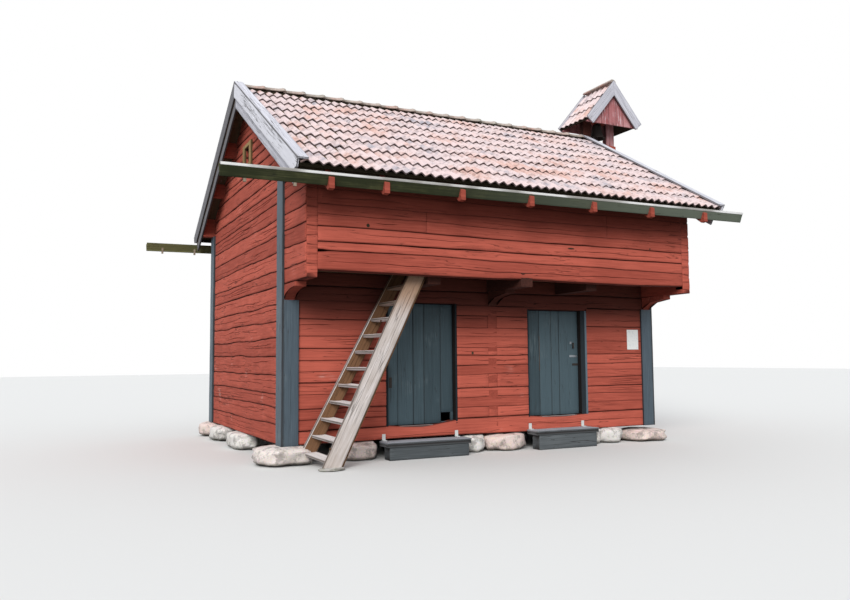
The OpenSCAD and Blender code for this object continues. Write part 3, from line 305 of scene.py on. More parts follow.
def bar(shape, origin, along, up, out, u0, u1, lo, hi, thick, seed, edge=0.006, bumps=0.002,
        step=0.06, breaks=(), cut=None, cracks=(), tone=None, crown=0.0, both_faces=False):
    """A log or plank: its outer face lies at out = 0 between the heights lo and hi, and it
    runs from u0 to u1. cut gives both ends as functions of the height, for sloping ends.
    A crack has a share of the height, a start and an end, a depth and half a width."""
    rng = np.random.default_rng(seed)
    tone = rng.random() if tone is None else tone
    foot_edge, edge = edge if isinstance(edge, tuple) else (edge, edge)
    u = np.linspace(u0, u1, max(2, int((u1 - u0) / step) + 1))
    u = np.unique(np.concatenate([u, [u0 + edge, u1 - edge],
                                  [b for b in breaks if u0 < b < u1]]))
    # each row along the bar: its share of the height, what is added to it, its depth, how
    # far the face's bumps reach it, and its dirt with painted shade, darkest on the rounded
    # edges
    rows = [(0, 0, -3.0 * foot_edge, .3, 1),
            (0, .15 * foot_edge, -1.3 * foot_edge, .6, .75),
            (0, .9 * foot_edge, -.4 * foot_edge, .9, .3), (0, 2.6 * foot_edge, 0, 1, .06)]
    used = [c[0] for c in cracks]
    rows += [(v, 0, 0, 1, 0) for v in (.2, .35, .5, .65, .8)
             if all(abs(v - c) > .09 for c in used)]
    crack_rows = {}
    for v, start, end, depth, width in cracks:
        for k in (-1, 0, 1):
            if k == 0:
                crack_rows[len(rows)] = (start, end, depth)
            rows.append((v, k * width, 0, .6, 0))
    order = sorted(range(len(rows)), key=lambda k: (rows[k][0], rows[k][1]))
    dips = {order.index(k): crack_rows[k] for k in crack_rows}
    rows = [rows[k] for k in order]
    rows += [(1, -2.6 * edge, 0, 1, .06), (1, -.9 * edge, -.4 * edge, .9, .3),
             (1, -.15 * edge, -1.3 * edge, .6, .75), (1, 0, -3.0 * edge, .3, 1)]
    back = .8 if both_faces else 0
    rows += [(1, 0, -thick + edge, back, .5), (1, -edge, -thick, back, .1)]
    if both_faces:
        rows += [(v, 0, -thick, 1, 0) for v in (.7, .5, .3)]
    rows += [(0, edge, -thick, back, .1), (0, 0, -thick + edge, back, .5)]
    v, off, depth, weight, dirt = (np.array(c, float) for c in zip(*rows))
    low, high = value_at(lo, u), value_at(hi, u)
    span = (high - low)[:, None]
    level = low[:, None] + v * span + off
    seeds = int(rng.integers(1, 10 ** 6))
    d = depth + weight * bumps * rough(u[:, None] * 5, level * 14, seeds)
    d = d + weight * crown * 4 * v * (1 - v)
    edge_dirt_and_shade = np.broadcast_to(dirt, d.shape).copy()
    for row, (start, end, deep) in dips.items():
        t = np.clip((u - start) / max(end - start, 1e-6), 0, 1)
        swell = np.sin(np.pi * t) ** .4 * (.75 + .25 * noise(u * 9, 0, seeds + row))
        swell = np.where((u > start) & (u < end), np.clip(swell, 0, 1), 0)
        d[:, row] -= deep * swell
        # painted shade on the floor of each crack
        edge_dirt_and_shade[:, row] = np.clip(swell * 1.2, 0, 1)
        sway = .012 * noise(u * 2.2, row, seeds + 3) + .004 * noise(u * 9, row, seeds + 5)
        level[:, row - 1:row + 2] += sway[:, None]
    t = (u - u0) / (u1 - u0)
    run = np.broadcast_to(u[:, None], d.shape)
    if cut:
        run = cut[0](level) + t[:, None] * (cut[1](level) - cut[0](level))
    for end in (0, -1):
        mid_l, mid_d = level[end].mean(), d[end].mean()
        shrink = edge * .7
        level[end] += np.clip(mid_l - level[end], -shrink, shrink)
        d[end] += np.clip(mid_d - d[end], -shrink, shrink)
    along, up, out = (np.array(w, float) for w in (along, up, out))
    rings = np.array(origin, float) + run[..., None] * along + level[..., None] * up \
        + d[..., None] * out
    if np.dot(np.cross(along, up), out) > 0:
        rings = rings[:, ::-1]
        edge_dirt_and_shade = edge_dirt_and_shade[:, ::-1]
        level, d = level[:, ::-1], d[:, ::-1]
    mid = len(u) // 2
    steps = np.hypot(np.diff(level[mid], append=level[mid, 0]),
                     np.diff(d[mid], append=d[mid, 0]))
    around = np.concatenate([[0], np.cumsum(steps)]) + rng.random() * 20
    shape.sweep(rings, around, u + rng.random() * 20, tone, edge_dirt_and_shade)


def board(*given, edge=.003, **more):
    """A planed board or plank, whose back shows as well."""
    bar(*given, edge=edge, both_faces=True, **more)


def prism(shape, origin, along, side, up, outline, u0, u1, seed, edge=0.004):
    """A piece with the given outline in side and up, from u0 to u1, with eased ends."""
    rng = np.random.default_rng(seed)
    pts = np.array(outline, float)
    mid = pts.mean(0)
    reach = np.linalg.norm(pts - mid, axis=1, keepdims=True)
    small = mid + (pts - mid) * (1 - edge / np.maximum(reach, edge))
    along, side, up = (np.array(w, float) for w in (along, side, up))
    area = np.sum(pts[:, 0] * np.roll(pts[:, 1], -1) - pts[:, 1] * np.roll(pts[:, 0], -1))
    if (area > 0) != (np.dot(np.cross(side, up), along) > 0):
        pts, small = pts[::-1], small[::-1]
    u = np.array([u0, u0 + edge, u1 - edge, u1])
    rings = np.stack([np.array(origin, float) + a * along + p[:, :1] * side + p[:, 1:] * up
                      for a, p in zip(u, (small, pts, pts, small))])
    steps = np.linalg.norm(np.roll(pts, -1, axis=0) - pts, axis=1)
    around = np.concatenate([[0], np.cumsum(steps)]) + rng.random() * 20
    shape.sweep(rings, around, u + rng.random() * 20, rng.random(),
                np.full(rings.shape[:2], .15))


def oval(wide, tall, degrees):
    """An outline of points on an oval, for a prism."""
    turn = np.radians(degrees)
    return np.stack([wide * np.cos(turn), tall * np.sin(turn)], 1)


def at_place(value):
    """An end that lies at the same place at every height, for a cut."""
    return lambda level: np.full_like(np.asarray(level, float), value)


def line(points, seed, gap=None, wave=None):
    """A log joint: its height and half its opening, as functions of the place along it."""
    sizes = bpy.context.scene.granary_sizes
    swing = sizes.log_wave if wave is None else wave
    opening = sizes.log_gap if gap is None else gap

    def height(u):
        return value_at(points, u) + swing * (noise(u * 1.3, 0, seed)
                                              + .35 * noise(u * 5, 0, seed + 1))

    def half(u):
        return .5 * value_at(opening, u) * (1 + .5 * noise(u * 3, 5, seed + 2))

    return height, half


def log_rows(shape, origin, along, out, lines, spans, seed, cut=None, cracks=(),
             crack_share=.5, crack_run=(.25, 1.1), crack_deep=(.006, .014), edge=.007,
             edges=None, **more):
    """Logs between neighbouring joint lines. spans gives each row's stretches, cracks the
    rows' own ones, and edges each joint's own rounding."""
    rng = np.random.default_rng(seed)
    for k in range(len(lines) - 1):
        (low, low_half), (high, high_half) = lines[k], lines[k + 1]
        stretches = spans[k] if isinstance(spans[0], list) else spans
        for n, (u0, u1) in enumerate(stretches):
            length = u1 - u0
            own = [c[1:] for c in cracks if c[0] == k]
            count = rng.binomial(3, crack_share * min(1, length / 1.5)) if not own else 0
            for v in rng.permutation([.3, .5, .7])[:count]:
                start = u0 + rng.random() * length * .6
                own.append((v + rng.uniform(-.05, .05), start,
                            min(u1 - .02, start + rng.uniform(*crack_run)),
                            rng.uniform(*crack_deep), rng.uniform(.003, .006)))
            bar(shape, origin, along, Z, out, u0, u1,
                lambda u, f=low, g=low_half: f(u) + g(u),
                lambda u, f=high, g=high_half: f(u) - g(u),
                LOG_T, seed * 100 + k * 7 + n, cut=cut, cracks=own,
                edge=tuple(edges[k:k + 2]) if edges else edge, **more)


# Materials

# soft edges, for a Map Range node
SOFT = {"interpolation_type": "SMOOTHSTEP"}
# how the pattern turns on CAD nodes, whose wood runs along one axis
GRAIN_TURN = {"x": (0, 0, 0), "y": (0, 0, -math.pi / 2)}


def shade(value):
    """A colour from an sRGB hex code, a name in GranaryColours, or linear values."""
    if not isinstance(value, str):
        return value
    if value.startswith("#"):
        return linear(value)
    return getattr(bpy.context.scene.granary_colours, value)


def add(tree, kind, inputs=(), out=0, **settings):
    """Adds a node with its settings and links, and gives one of its outputs. An input is a
    value or another node's output."""
    node = tree.nodes.new(kind)
    for key, value in settings.items():
        setattr(node, key, value)
    for key, value in inputs.items() if isinstance(inputs, dict) else enumerate(inputs):
        socket = node.inputs[key]
        if isinstance(value, bpy.types.NodeSocket):
            tree.links.new(value, socket)
        elif socket.type == "RGBA":
            socket.default_value = (*shade(value), 1)
        else:
            socket.default_value = value
    return node.outputs[out] if node.outputs else None


def emptied(block):
    """Clears a material's or world's nodes and gives the function that adds new ones."""
    block.use_nodes = True
    block.node_tree.nodes.clear()
    return partial(add, block.node_tree)


def surface(node, base, roughness, specular=.3, metallic=0.0, **relief):
    """Ends a material. relief gives the Height of its bump, the Strength, and the Distance
    in metres."""
    inputs = {"Base Color": base, "Roughness": roughness, "Specular IOR Level": specular,
              "Metallic": metallic}
    if relief:
        inputs["Normal"] = node("ShaderNodeBump", relief)
    node("ShaderNodeOutputMaterial", (node("ShaderNodeBsdfPrincipled", inputs),))


def in_view(node):
    """1 for what the camera and its reflections see, 0 for the light on the object."""
    path = node("ShaderNodeLightPath").node.outputs
    return node("ShaderNodeMath", (path["Is Camera Ray"], path["Is Glossy Ray"]),
                operation="MAXIMUM")


def over(node, under, top, share, strength=1, mode="MIX"):
    """Lays one colour over another, by a share and its strength."""
    if strength != 1:
        share = node("ShaderNodeMath", (share, strength), operation="MULTIPLY")
    return node("ShaderNodeMix", {0: share, 6: under, 7: top}, 2, data_type="RGBA",
                blend_type=mode)


def spots(node, where, scale, detail, low, high, roughness=.7):
    """Noise as spots with soft edges: 0 where it is below low, 1 above high."""
    grit = node("ShaderNodeTexNoise", {"Vector": where, "Scale": scale, "Detail": detail,
                                       "Roughness": roughness})
    return node("ShaderNodeMapRange", (grit, low, high), **SOFT)


def timber(node, light, dark, cracked, axis=None, wear=None, wear_share=.3,
           streak=(2.2, 60), check=(.9, 26), check_width=.012, roughness=.88, specular=.15,
           bump=.5, tone_swing=.5, patch=1.4, worn_below=None, fade=None):
    """Sawn or hewn softwood, dull and long-grained. streak and check are patterns to the
    metre, along the grain and across it: streaks 17 mm wide that part into strands of
    1 mm, and drying checks 40 mm apart. wear shows in patches, and only low down where
    worn_below is given. Where the mesh's dirt attribute says, the wood darkens to the
    crack colour, for dirt and for painted shade on the rounded edges and in the cracks.
    fade gives an axis, two places along it and the colour that the wood goes to there;
    on the red that colour is painted shade under the gallery and the eaves."""
    where = node("ShaderNodeTexCoord", out="Object")
    tone = node("ShaderNodeAttribute", out="Fac", attribute_name="tone")
    if axis:
        grain = node("ShaderNodeMapping", {"Vector": where, "Rotation": GRAIN_TURN[axis]})
    else:
        grain = node("ShaderNodeUVMap", uv_map="grain")
    # every bar has a tone of its own, which also moves its pattern
    shift = node("ShaderNodeVectorMath", {0: (13.7, 7.3, 3.1), "Scale": tone},
                 operation="SCALE")
    grain = node("ShaderNodeVectorMath", (grain, shift), operation="ADD")
    streaks, checks = (
        node("ShaderNodeTexNoise", {
            "Vector": node("ShaderNodeVectorMath", (grain, (along, across, across)),
                           operation="MULTIPLY"),
            "Scale": 1, "Detail": detail, "Roughness": rough_by, "Distortion": bend})
        for (along, across), detail, rough_by, bend in ((streak, 5, .65, 0),
                                                        (check, 2, .5, .4)))
    away = node("ShaderNodeMath", (checks, .5), operation="SUBTRACT")
    away = node("ShaderNodeMath", (away,), operation="ABSOLUTE")
    patches = node("ShaderNodeTexNoise", {"Vector": where, "Scale": patch, "Detail": 3,
                                          "Roughness": .55})
    crack = node("ShaderNodeMath", (
        node("ShaderNodeMapRange", (patches, .42, .6), **SOFT),
        node("ShaderNodeMapRange", (away, 0, check_width, 1, 0), **SOFT)),
        operation="MULTIPLY")
    mixed = node("ShaderNodeMath", (streaks, .7, -.5 * tone_swing),
                 operation="MULTIPLY_ADD")
    for value, factor in ((patches, .45), (tone, tone_swing)):
        mixed = node("ShaderNodeMath", (value, factor, mixed), operation="MULTIPLY_ADD")
    result = over(node, dark, light, node("ShaderNodeMapRange", (mixed, .25, .85), **SOFT))
    if worn_below or fade:
        spot = node("ShaderNodeSeparateXYZ", (where,)).node.outputs
    if wear:
        masks = [(patches, .62 - wear_share * .2, .72), (streaks, .48, .62)]
        if worn_below:
            masks.append((spot[2], worn_below * .4, worn_below * 1.6, 1, .12))
        worn = 1.0
        for mask in masks:
            worn = node("ShaderNodeMath", (node("ShaderNodeMapRange", mask, **SOFT), worn),
                        operation="MULTIPLY")
        result = over(node, result, wear, worn)
    if fade:
        axis_no, near, far, turned = fade
        share = node("ShaderNodeMapRange", (spot[axis_no], foot[axis_no] + near,
                                            foot[axis_no] + far), **SOFT)
        result = over(node, result, turned, share, .8)
    result = over(node, result, cracked, crack, .75)
    dirt = node("ShaderNodeAttribute", out="Fac", attribute_name="dirt")
    result = over(node, result, cracked, dirt, .9)
    height = node("ShaderNodeMath", (streaks, .6), operation="MULTIPLY")
    height = node("ShaderNodeMath", (height, crack), operation="SUBTRACT")
    surface(node, result, roughness, specular, Height=height, Strength=bump, Distance=.004)


def clay(node, light, warm, grey, dark):
    """Old pressed clay tiles, chalky and matt: each tile fired a little differently, greyed
    by lichen in specks of 26 mm, with 6 mm grit and spots of soot and moss. Where the
    mesh's dirt attribute says, the troughs and the laps are darker, and painted shade
    falls on the flank that faces the sun, along each tile's lower edge and underneath."""
    where = node("ShaderNodeTexCoord", out="Object")
    tone, dirt = (node("ShaderNodeAttribute", out="Fac", attribute_name=name)
                  for name in ("tone", "dirt"))
    patches, specks, grit = (
        node("ShaderNodeTexNoise", {"Vector": where, "Scale": scale, "Detail": detail,
                                    "Roughness": roughness})
        for scale, detail, roughness in ((2, 4, .6), (38, 4, .7), (160, 3, .6)))
    fired = node("ShaderNodeMath", (patches, 1.8, tone), operation="MULTIPLY_ADD")
    result = over(node, warm, light,
                  node("ShaderNodeMapRange", (fired, 1.09, 1.44), **SOFT))
    result = over(node, result, grey,
                  node("ShaderNodeMapRange", (fired, 1.46, 1.79), **SOFT))
    result = over(node, result, "#EDE6DE",
                  node("ShaderNodeMapRange", (specks, .54, .64), **SOFT), .4)
    result = over(node, result, dark, spots(node, where, 11, 5, .50, .62), .35)
    result = over(node, result, dark, dirt, .85)
    height = node("ShaderNodeMath", (grit, .4, specks), operation="MULTIPLY_ADD")
    surface(node, result, .9, .2, Height=height, Strength=.35, Distance=.003)


def stone(node):
    """Granite field stones: 11 mm grains, coarser than real ones so that they show, pink
    or grey by stone, with blotches and lichen on top and soil at the foot."""
    where = node("ShaderNodeTexCoord", out="Object")
    tone = node("ShaderNodeAttribute", out="Fac", attribute_name="tone")
    base = over(node, "granite", "granite_pink",
                node("ShaderNodeMapRange", (tone, .35, .65), **SOFT))
    grains = node("ShaderNodeTexVoronoi", {"Vector": where, "Scale": 90}, "Color")
    base = over(node, base, grains, .22, mode="SOFT_LIGHT")
    base = over(node, base, "#6E6A66", spots(node, where, 9, 6, .48, .62), .6)
    base = over(node, base, "#CDCCBE", spots(node, where, 16, 4, .58, .64, .6), .5)
    height = node("ShaderNodeSeparateXYZ", (where,), 2)
    soil = node("ShaderNodeMapRange", (height, 0, .07, 1, 0), **SOFT)
    base = over(node, base, "#4E4D38", soil, .55)
    rugged = node("ShaderNodeTexNoise", {"Vector": where, "Scale": 45, "Detail": 6,
                                         "Roughness": .7})
    surface(node, base, .85, .3, Height=rugged, Strength=.5, Distance=.006)


def metal(node, base, rust, roughness, metallic, share):
    """Forged or cast iron, dull with rust in 33 mm spots, or a sheet with old paint."""
    where = node("ShaderNodeTexCoord", out="Object")
    result = over(node, base, rust, spots(node, where, 30, 5, .62 - share, .72 - share))
    pitted = node("ShaderNodeTexNoise", {"Vector": where, "Scale": 70, "Detail": 4,
                                         "Roughness": .6})
    surface(node, result, roughness, .5, metallic, Height=pitted, Strength=.3,
            Distance=.002)


RED = ("red", "red_dark", "seam")
SEAM = "#1B120E"
DISTEMPER = dict(wear="bare_log", wear_share=-.1, tone_swing=.3, worn_below=1.2)
OIL_PAINT = dict(wear="#6A767A", roughness=.6, specular=.35)
# painted shade: the red darkens toward the top under the gallery floor
UNDER_GALLERY_SHADE = (2, 1.15, 1.78, "#35201C")

# Each finish: its material's name, what makes it, its colours and what is particular to it
FINISHES = {
    # iron-oxide distemper: matt and chalky, thin to the bare wood near the ground
    "red_logs": ("red_distemper_logs", timber, RED, DISTEMPER),
    "red_gable": ("red_distemper_gable", timber, RED, dict(
        DISTEMPER, wear_share=.1, tone_swing=.25, check=(1.2, 26), check_width=.018,
        patch=2.4, bump=.9)),
    # the same red, with painted shade where the gallery and the eaves shade it: darker
    # toward the top of the lower wall and of the gallery wall
    "red_front": ("red_distemper_front", timber, RED, dict(DISTEMPER, fade=UNDER_GALLERY_SHADE)),
    "red_gallery": ("red_distemper_gallery", timber, RED, dict(
        tone_swing=.3, fade=(2, 2.35, 3.05, "#4E211A"))),
    "red_timber_x": ("red_timber_along", timber, RED, dict(axis="x")),
    "red_timber_y": ("red_timber_across", timber, RED, dict(axis="y", fade=UNDER_GALLERY_SHADE)),
    # painted shade: a dark copy of the red for the middle corbel, the floor beams and the
    # turret's far post
    "red_shade": ("red_distemper_shaded", timber, ("#5C332A", "#38211C", "seam"), dict(
        axis="y", tone_swing=.3)),
    # the turret stands in the sun and the rain, so its red has gone pale and pink
    "red_faded": ("red_distemper_faded", timber, ("#C08A8C", "#9A5A5C", "seam"), dict(
        wear="#E2D5DA", wear_share=1.0, streak=(3, 40), patch=3)),
    # linseed oil paint: a faint gloss, worn through to grey on the edges of the grain
    "slate": ("slate_oil_paint", timber, ("slate", "slate_dark", SEAM), dict(
        OIL_PAINT, wear_share=.35)),
    # painted shade: a darker copy of the slate paint, for the doors that stand under the
    # gallery
    "door_paint": ("door_oil_paint", timber, ("#43555D", "#2E3E45", "#12100F"), OIL_PAINT),
    # painted shade: the jambs near black, as the shade in the door reveals
    "jamb_paint": ("door_reveal_paint", timber, ("#2C343A", "#1C2226", SEAM), {}),
    "step_paint": ("step_oil_paint", timber, ("#686D70", "#474C4F", SEAM), {}),
    # feet have taken the gloss and most of the colour; the top planks of the steps are also
    # lighter as a painted highlight from the sky
    "step_worn": ("trodden_step_paint", timber, ("#A6ACB4", "#747A82", SEAM), {}),
    "worn_sill": ("trodden_sill", timber, ("#B0A2A2", "#866E6A", SEAM), {}),
    # bare pine: silver in the sun, brown under cover, dark and green where it stays wet;
    # the dark boards behind the back verges and under the eaves are painted shade
    "silver": ("silvered_boards", timber, ("silver", "silver_dark", "#3A3733"), dict(
        check_width=.03, bump=.7)),
    # painted shade: dark grey for the verge boards on the back slope
    "grey_board": ("shaded_board", timber, ("#77767A", "#403C3C", SEAM), {}),
    # painted shade: near-black brown for the fascias and laths under the eaves, the knot
    # holes, the bed under the ridge and the turret's roof boards
    "dark_board": ("dark_eave_boards", timber, ("#4A4233", "#2A251C", SEAM), {}),
    "gutter": ("algae_grey_planks", timber, ("gutter", "gutter_dark", "#2C2C25"), dict(
        patch=5, tone_swing=.8, fade=(0, 1, 5.5, "#727A6E"))),
    # white strips along the gutters' top edges, pale wood with a painted highlight on top;
    # checks so wide that they turn whole patches of them grey
    "rim": ("bleached_gutter_rims", timber, ("#FFFFFF", "#F2F0F4", "#8A857E"), dict(
        check_width=100)),
    "clamp": ("gutter_clamp_wood", timber, ("#B4A694", "#6A5A4A", SEAM), {}),
    "stair": ("bare_stair_pine", timber, ("stair", "stair_dark", "#3B2D20"), dict(
        check_width=.03, patch=2.5, fade=(2, 1.35, 1.8, "#9A7454"))),
    # brown pine, and painted shade: the rear stair side that stays in shade, and thin
    # strips that draw the shadow line between the barge boards
    "stair_brown": ("brown_stair_pine", timber, ("#7C5B42", "#38281C", "#241810"), dict(
        patch=3)),
    "inner": ("unpainted_pine", timber, ("#8C7A63", "#5E4F3E", "#2A2118"), dict(axis="x")),
    "frame": ("tan_window_pine", timber, ("#A98E63", "#7C6544", "#3A2D1D"), dict(patch=3)),
    # fired clay: dry and dull, pale pink to grey, and darker in the laps
    "tiles": ("lichened_clay_tiles", clay, ("tile", "tile_warm", "tile_grey", "tile_dark"),
              {}),
    "ridge_tiles": ("pale_ridge_tiles", clay, ("#B4A69E", "#B8968C", "#A2A096", "#4A463A"),
                    {}),
    "stones": ("granite_field_stones", stone, (), {}),
    # iron that hands keep bright, with a painted glint, iron that rusts, painted steel and
    # plain paper
    "worn_iron": ("bright_worn_iron", metal, ("#8A9096", "#3A3634", .5, .6, .05), {}),
    "iron": ("rusted_forged_iron", metal, ("iron", "#3A2C24", .7, .6, .05), {}),
    "white_metal": ("white_painted_steel", metal, ("#C9CCCB", "#8C8A83", .5, 0, -.02), {}),
    "paper": ("bare_paper_sheet", metal, ("paper", "#D5D9DC", .7, 0, .08), {}),
}
materials = {}


def finish_of(key):
    """The material for a finish, made when it is first needed."""
    if key not in materials:
        name, maker, colours, settings = FINISHES[key]
        materials[key] = bpy.data.materials.new(name)
        maker(emptied(materials[key]), *colours, **settings)
    return materials[key]


def dress(**finishes):
    """Gives finishes to CAD nodes that keep their shapes."""
    for name, key in finishes.items():
        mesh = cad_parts[name].data
        mesh.materials.clear()
        mesh.materials.append(finish_of(key))


# Geometry Nodes

def repeat_tree():
    """The tree that repeats a shape in rows and columns, with each copy a little off."""
    tree = bpy.data.node_groups.new("repeat_in_rows", "GeometryNodeTree")
    for name, kind in (("Shape", "Object"), ("Count A", "Int"), ("Count B", "Int"),
                       ("Start", "Vector"), ("Step A", "Vector"), ("Step B", "Vector"),
                       ("Turn", "Vector"), ("Jitter", "Float"), ("Shift", "Float"),
                       ("Seed", "Int"), ("Finish", "Material")):
        tree.interface.new_socket(name, in_out="INPUT", socket_type="NodeSocket" + kind)
    tree.interface.new_socket("Geometry", in_out="OUTPUT", socket_type="NodeSocketGeometry")
    node = partial(add, tree)
    given = node("NodeGroupInput").node.outputs
    total = node("FunctionNodeIntegerMath", (given["Count A"], given["Count B"]),
                 operation="MULTIPLY")
    index = node("GeometryNodeInputIndex")
    column, row = (node("FunctionNodeIntegerMath", (index, given["Count A"]), operation=way)
                   for way in ("MODULO", "DIVIDE_FLOOR"))

    def jitter(limit, seed):
        low = node("ShaderNodeMath", (limit, -1), operation="MULTIPLY")
        return node("FunctionNodeRandomValue", {0: low, 1: limit, "Seed": seed},
                    data_type="FLOAT_VECTOR")

    spot = given["Start"]
    for step, count in (("Step A", column), ("Step B", row)):
        spot = node("ShaderNodeVectorMath", (given[step], count, spot),
                    operation="MULTIPLY_ADD")
    spot = node("ShaderNodeVectorMath", (spot, jitter(given["Shift"], given["Seed"])),
                operation="ADD")
    moved = node("GeometryNodeSetPosition", {"Geometry": node(
        "GeometryNodePoints", {"Count": total}), "Position": spot})
    seed = node("FunctionNodeIntegerMath", (given["Seed"], 5), operation="ADD")
    turned = node("ShaderNodeVectorMath", (given["Turn"], jitter(given["Jitter"], seed)),
                  operation="ADD")
    copies = node("GeometryNodeInstanceOnPoints", {
        "Points": moved,
        "Instance": node("GeometryNodeObjectInfo", {"Object": given["Shape"]}, "Geometry"),
        "Rotation": node("FunctionNodeEulerToRotation", (turned,))})
    tone = node("FunctionNodeRandomValue", {"Seed": given["Seed"]}, 1, data_type="FLOAT")
    toned = node("GeometryNodeStoreNamedAttribute",
                 {"Geometry": copies, "Name": "tone", "Value": tone}, data_type="FLOAT",
                 domain="INSTANCE")
    real = node("GeometryNodeRealizeInstances", {"Geometry": toned})
    node("NodeGroupOutput", {"Geometry": node("GeometryNodeSetMaterial", {
        "Geometry": real, "Material": given["Finish"]})})
    return tree


def repeat(name, shape, count_a, count_b, start, step_a, step_b, finish, turn=(0, 0, 0),
           jitter=0.0, shift=0.0, seed=1):
    """Repeats a shape in rows and columns and gives the result as a plain mesh."""
    tree = bpy.data.node_groups.get("repeat_in_rows") or repeat_tree()
    host = linked(name + "_host", bpy.data.meshes.new(name + "_host"))
    modifier = host.modifiers.new("repeat", "NODES")
    modifier.node_group = tree
    values = {"Shape": shape, "Count A": count_a, "Count B": count_b, "Start": start,
              "Step A": step_a, "Step B": step_b, "Turn": turn, "Jitter": jitter,
              "Shift": shift, "Seed": seed, "Finish": finish_of(finish)}
    for item in tree.interface.items_tree:
        if item.in_out == "INPUT":
            value = values[item.name]
            if isinstance(value, (tuple, Vector)):
                value = [float(v) for v in value]
            modifier[item.identifier] = value
    bpy.context.view_layer.update()
    depsgraph = bpy.context.evaluated_depsgraph_get()
    mesh = bpy.data.meshes.new_from_object(host.evaluated_get(depsgraph))
    mesh.name = name
    obj = linked(name, mesh)
    bpy.data.objects.remove(host)
    return obj


def joined(name, parts):
    """One object from several meshes."""
    with bpy.context.temp_override(active_object=parts[0], object=parts[0],
                                   selected_objects=parts,
                                   selected_editable_objects=parts):
        bpy.ops.object.join()
    parts[0].name = name
    return parts[0]


# Pieces

class GRANARY_OT_stage(bpy.types.Operator):
    """Makes the camera, the soft light and the pale floor"""
    bl_idname = "granary.stage"
    bl_label = "Stage"

    def execute(self, context):
        scene = context.scene
        # as the picture shows it: a wide view from the left, near the ground
        yaw, rise, roll = 0.46503, 0.07607, -0.00798
        ahead = Vector((math.sin(yaw) * math.cos(rise), math.cos(yaw) * math.cos(rise),
                        math.sin(rise)))
        right = Vector((math.cos(yaw), -math.sin(yaw), 0))
        up = right.cross(ahead)
        side = right * math.cos(roll) + up * math.sin(roll)
        top = -right * math.sin(roll) + up * math.cos(roll)
        lens = bpy.data.cameras.new("camera")
        lens.lens, lens.sensor_width = 32.53, 36
        camera = linked("camera", lens)
        camera.matrix_world = Matrix.LocRotScale(
            Vector((-5.3998, -10.4174, 1.2174)),
            Matrix((side, top, -ahead)).transposed(), None)
        scene.camera = camera
        world = bpy.data.worlds.new("soft_sky")
        scene.world = world
        node = emptied(world)
        sky, plain = (node("ShaderNodeBackground", {"Color": tint, "Strength": strength})
                      for tint, strength in (((.93, .96, 1), .82), ((1, 1, 1), 1)))
        node("ShaderNodeOutputWorld",
             (node("ShaderNodeMixShader", (in_view(node), sky, plain)),))
        lamp = bpy.data.lights.new("sun", "SUN")
        lamp.energy, lamp.angle, lamp.color = 2.4, math.radians(30), (1, .985, .96)
        linked("sun", lamp).rotation_euler = (math.radians(60), 0, math.radians(-36))
        if scene.granary_sizes.show_floor:
            mesh = bpy.data.meshes.new("floor")
            reach = 60
            mesh.from_pydata([(-reach, -reach, 0), (reach, -reach, 0), (reach, reach, 0),
                              (-reach, reach, 0)], [], [(0, 1, 2, 3)])
            material = bpy.data.materials.new("pale_floor")
            node = emptied(material)
            tint = over(node, (.2, .2, .19), (.74, .74, .73), in_view(node))
            surface(node, tint, .95, .1)
            mesh.materials.append(material)
            linked("floor", mesh)
        scene.view_settings.view_transform = "Standard"
        return {"FINISHED"}


def boulder(shape, x, y, z0, z1, a, b, seed):
    """A rounded field stone with a worn top, between the heights z0 and z1. a and b are
    half its length and half its width."""
    rng = np.random.default_rng(seed)
    rings, sides = 22, 36
    square, lump = 4.2, .17
    polar = np.linspace(-math.pi / 2, math.pi / 2, rings)[:, None]
    turn = np.linspace(0, 2 * math.pi, sides, endpoint=False)[None, :]

    def rounded(value, power):
        return np.sign(value) * np.abs(value) ** power

    ring = rounded(np.cos(polar), 2 / square)
    px = ring * rounded(np.cos(turn), .85)
    py = ring * rounded(np.sin(turn), .85)
    pz = rounded(np.sin(polar), 2 / square) + 0 * turn
    shake = 1 + lump * (rough(px * 1.7 + 3, py * 1.7 + pz * 1.3, seed)
                        + .4 * rough(px * 4, py * 4 + pz * 3, seed + 3))
    half = (z1 - z0) / 2
    points = np.stack([x + a * px * shake, y + b * py * shake,
                       (z0 + z1) / 2 + half * np.clip(pz * shake, -1, 1)], -1)
    points += np.array(foot, float)
    runs = np.linspace(0, 1, rings) + rng.random() * 9
    shape.sweep(points, np.linspace(0, 2, sides + 1), runs, rng.random(),
                np.zeros(points.shape[:2]))


class GRANARY_OT_stones(bpy.types.Operator):
    """Makes the field stones under the walls"""
    bl_idname = "granary.stones"
    bl_label = "Foundation stones"

    def execute(self, context):
        corners, loose = Shape(), Shape()
        boulder(corners, .04, .15, GROUND, 0, .36, .36, 11)
        boulder(corners, HOUSE_L - .17, .09, GROUND, -.05, .34, .34, 12)
        for k, x in enumerate((.08, HOUSE_L - .08)):
            boulder(corners, x, HOUSE_D - .08, GROUND, 0, .3, .3, 13 + k)
        for x0, x1, y0, y1, seed in (
                (.724, 1.191, -.122, .257, 21), (2.400, 2.729, -.092, .257, 22),
                (2.744, 3.350, -.152, .257, 23), (4.393, 4.621, -.092, .257, 24),
                (4.634, 5.000, -.122, .257, 25), (-.16, .25, 1.66, 2.49, 26),
                (-.16, .25, 2.90, 3.70, 27), (5.35, 5.76, 1.79, 2.36, 28),
                (1.58, 2.15, 3.90, 4.31, 29), (3.45, 4.02, 3.90, 4.31, 30)):
            boulder(loose, (x0 + x1) / 2, (y0 + y1) / 2, GROUND, 0, (x1 - x0) / 2,
                    (y1 - y0) / 2, seed)
        boulder(loose, .36, -.66, GROUND, GROUND + .03, .15, .1, 31)
        for shape, name in ((corners, "corner_stones"), (loose, "field_stones")):
            shape.finish("granite_" + name, "stones", replaces=(name,),
                         slot="fieldstone", sharp=60)
        return {"FINISHED"}


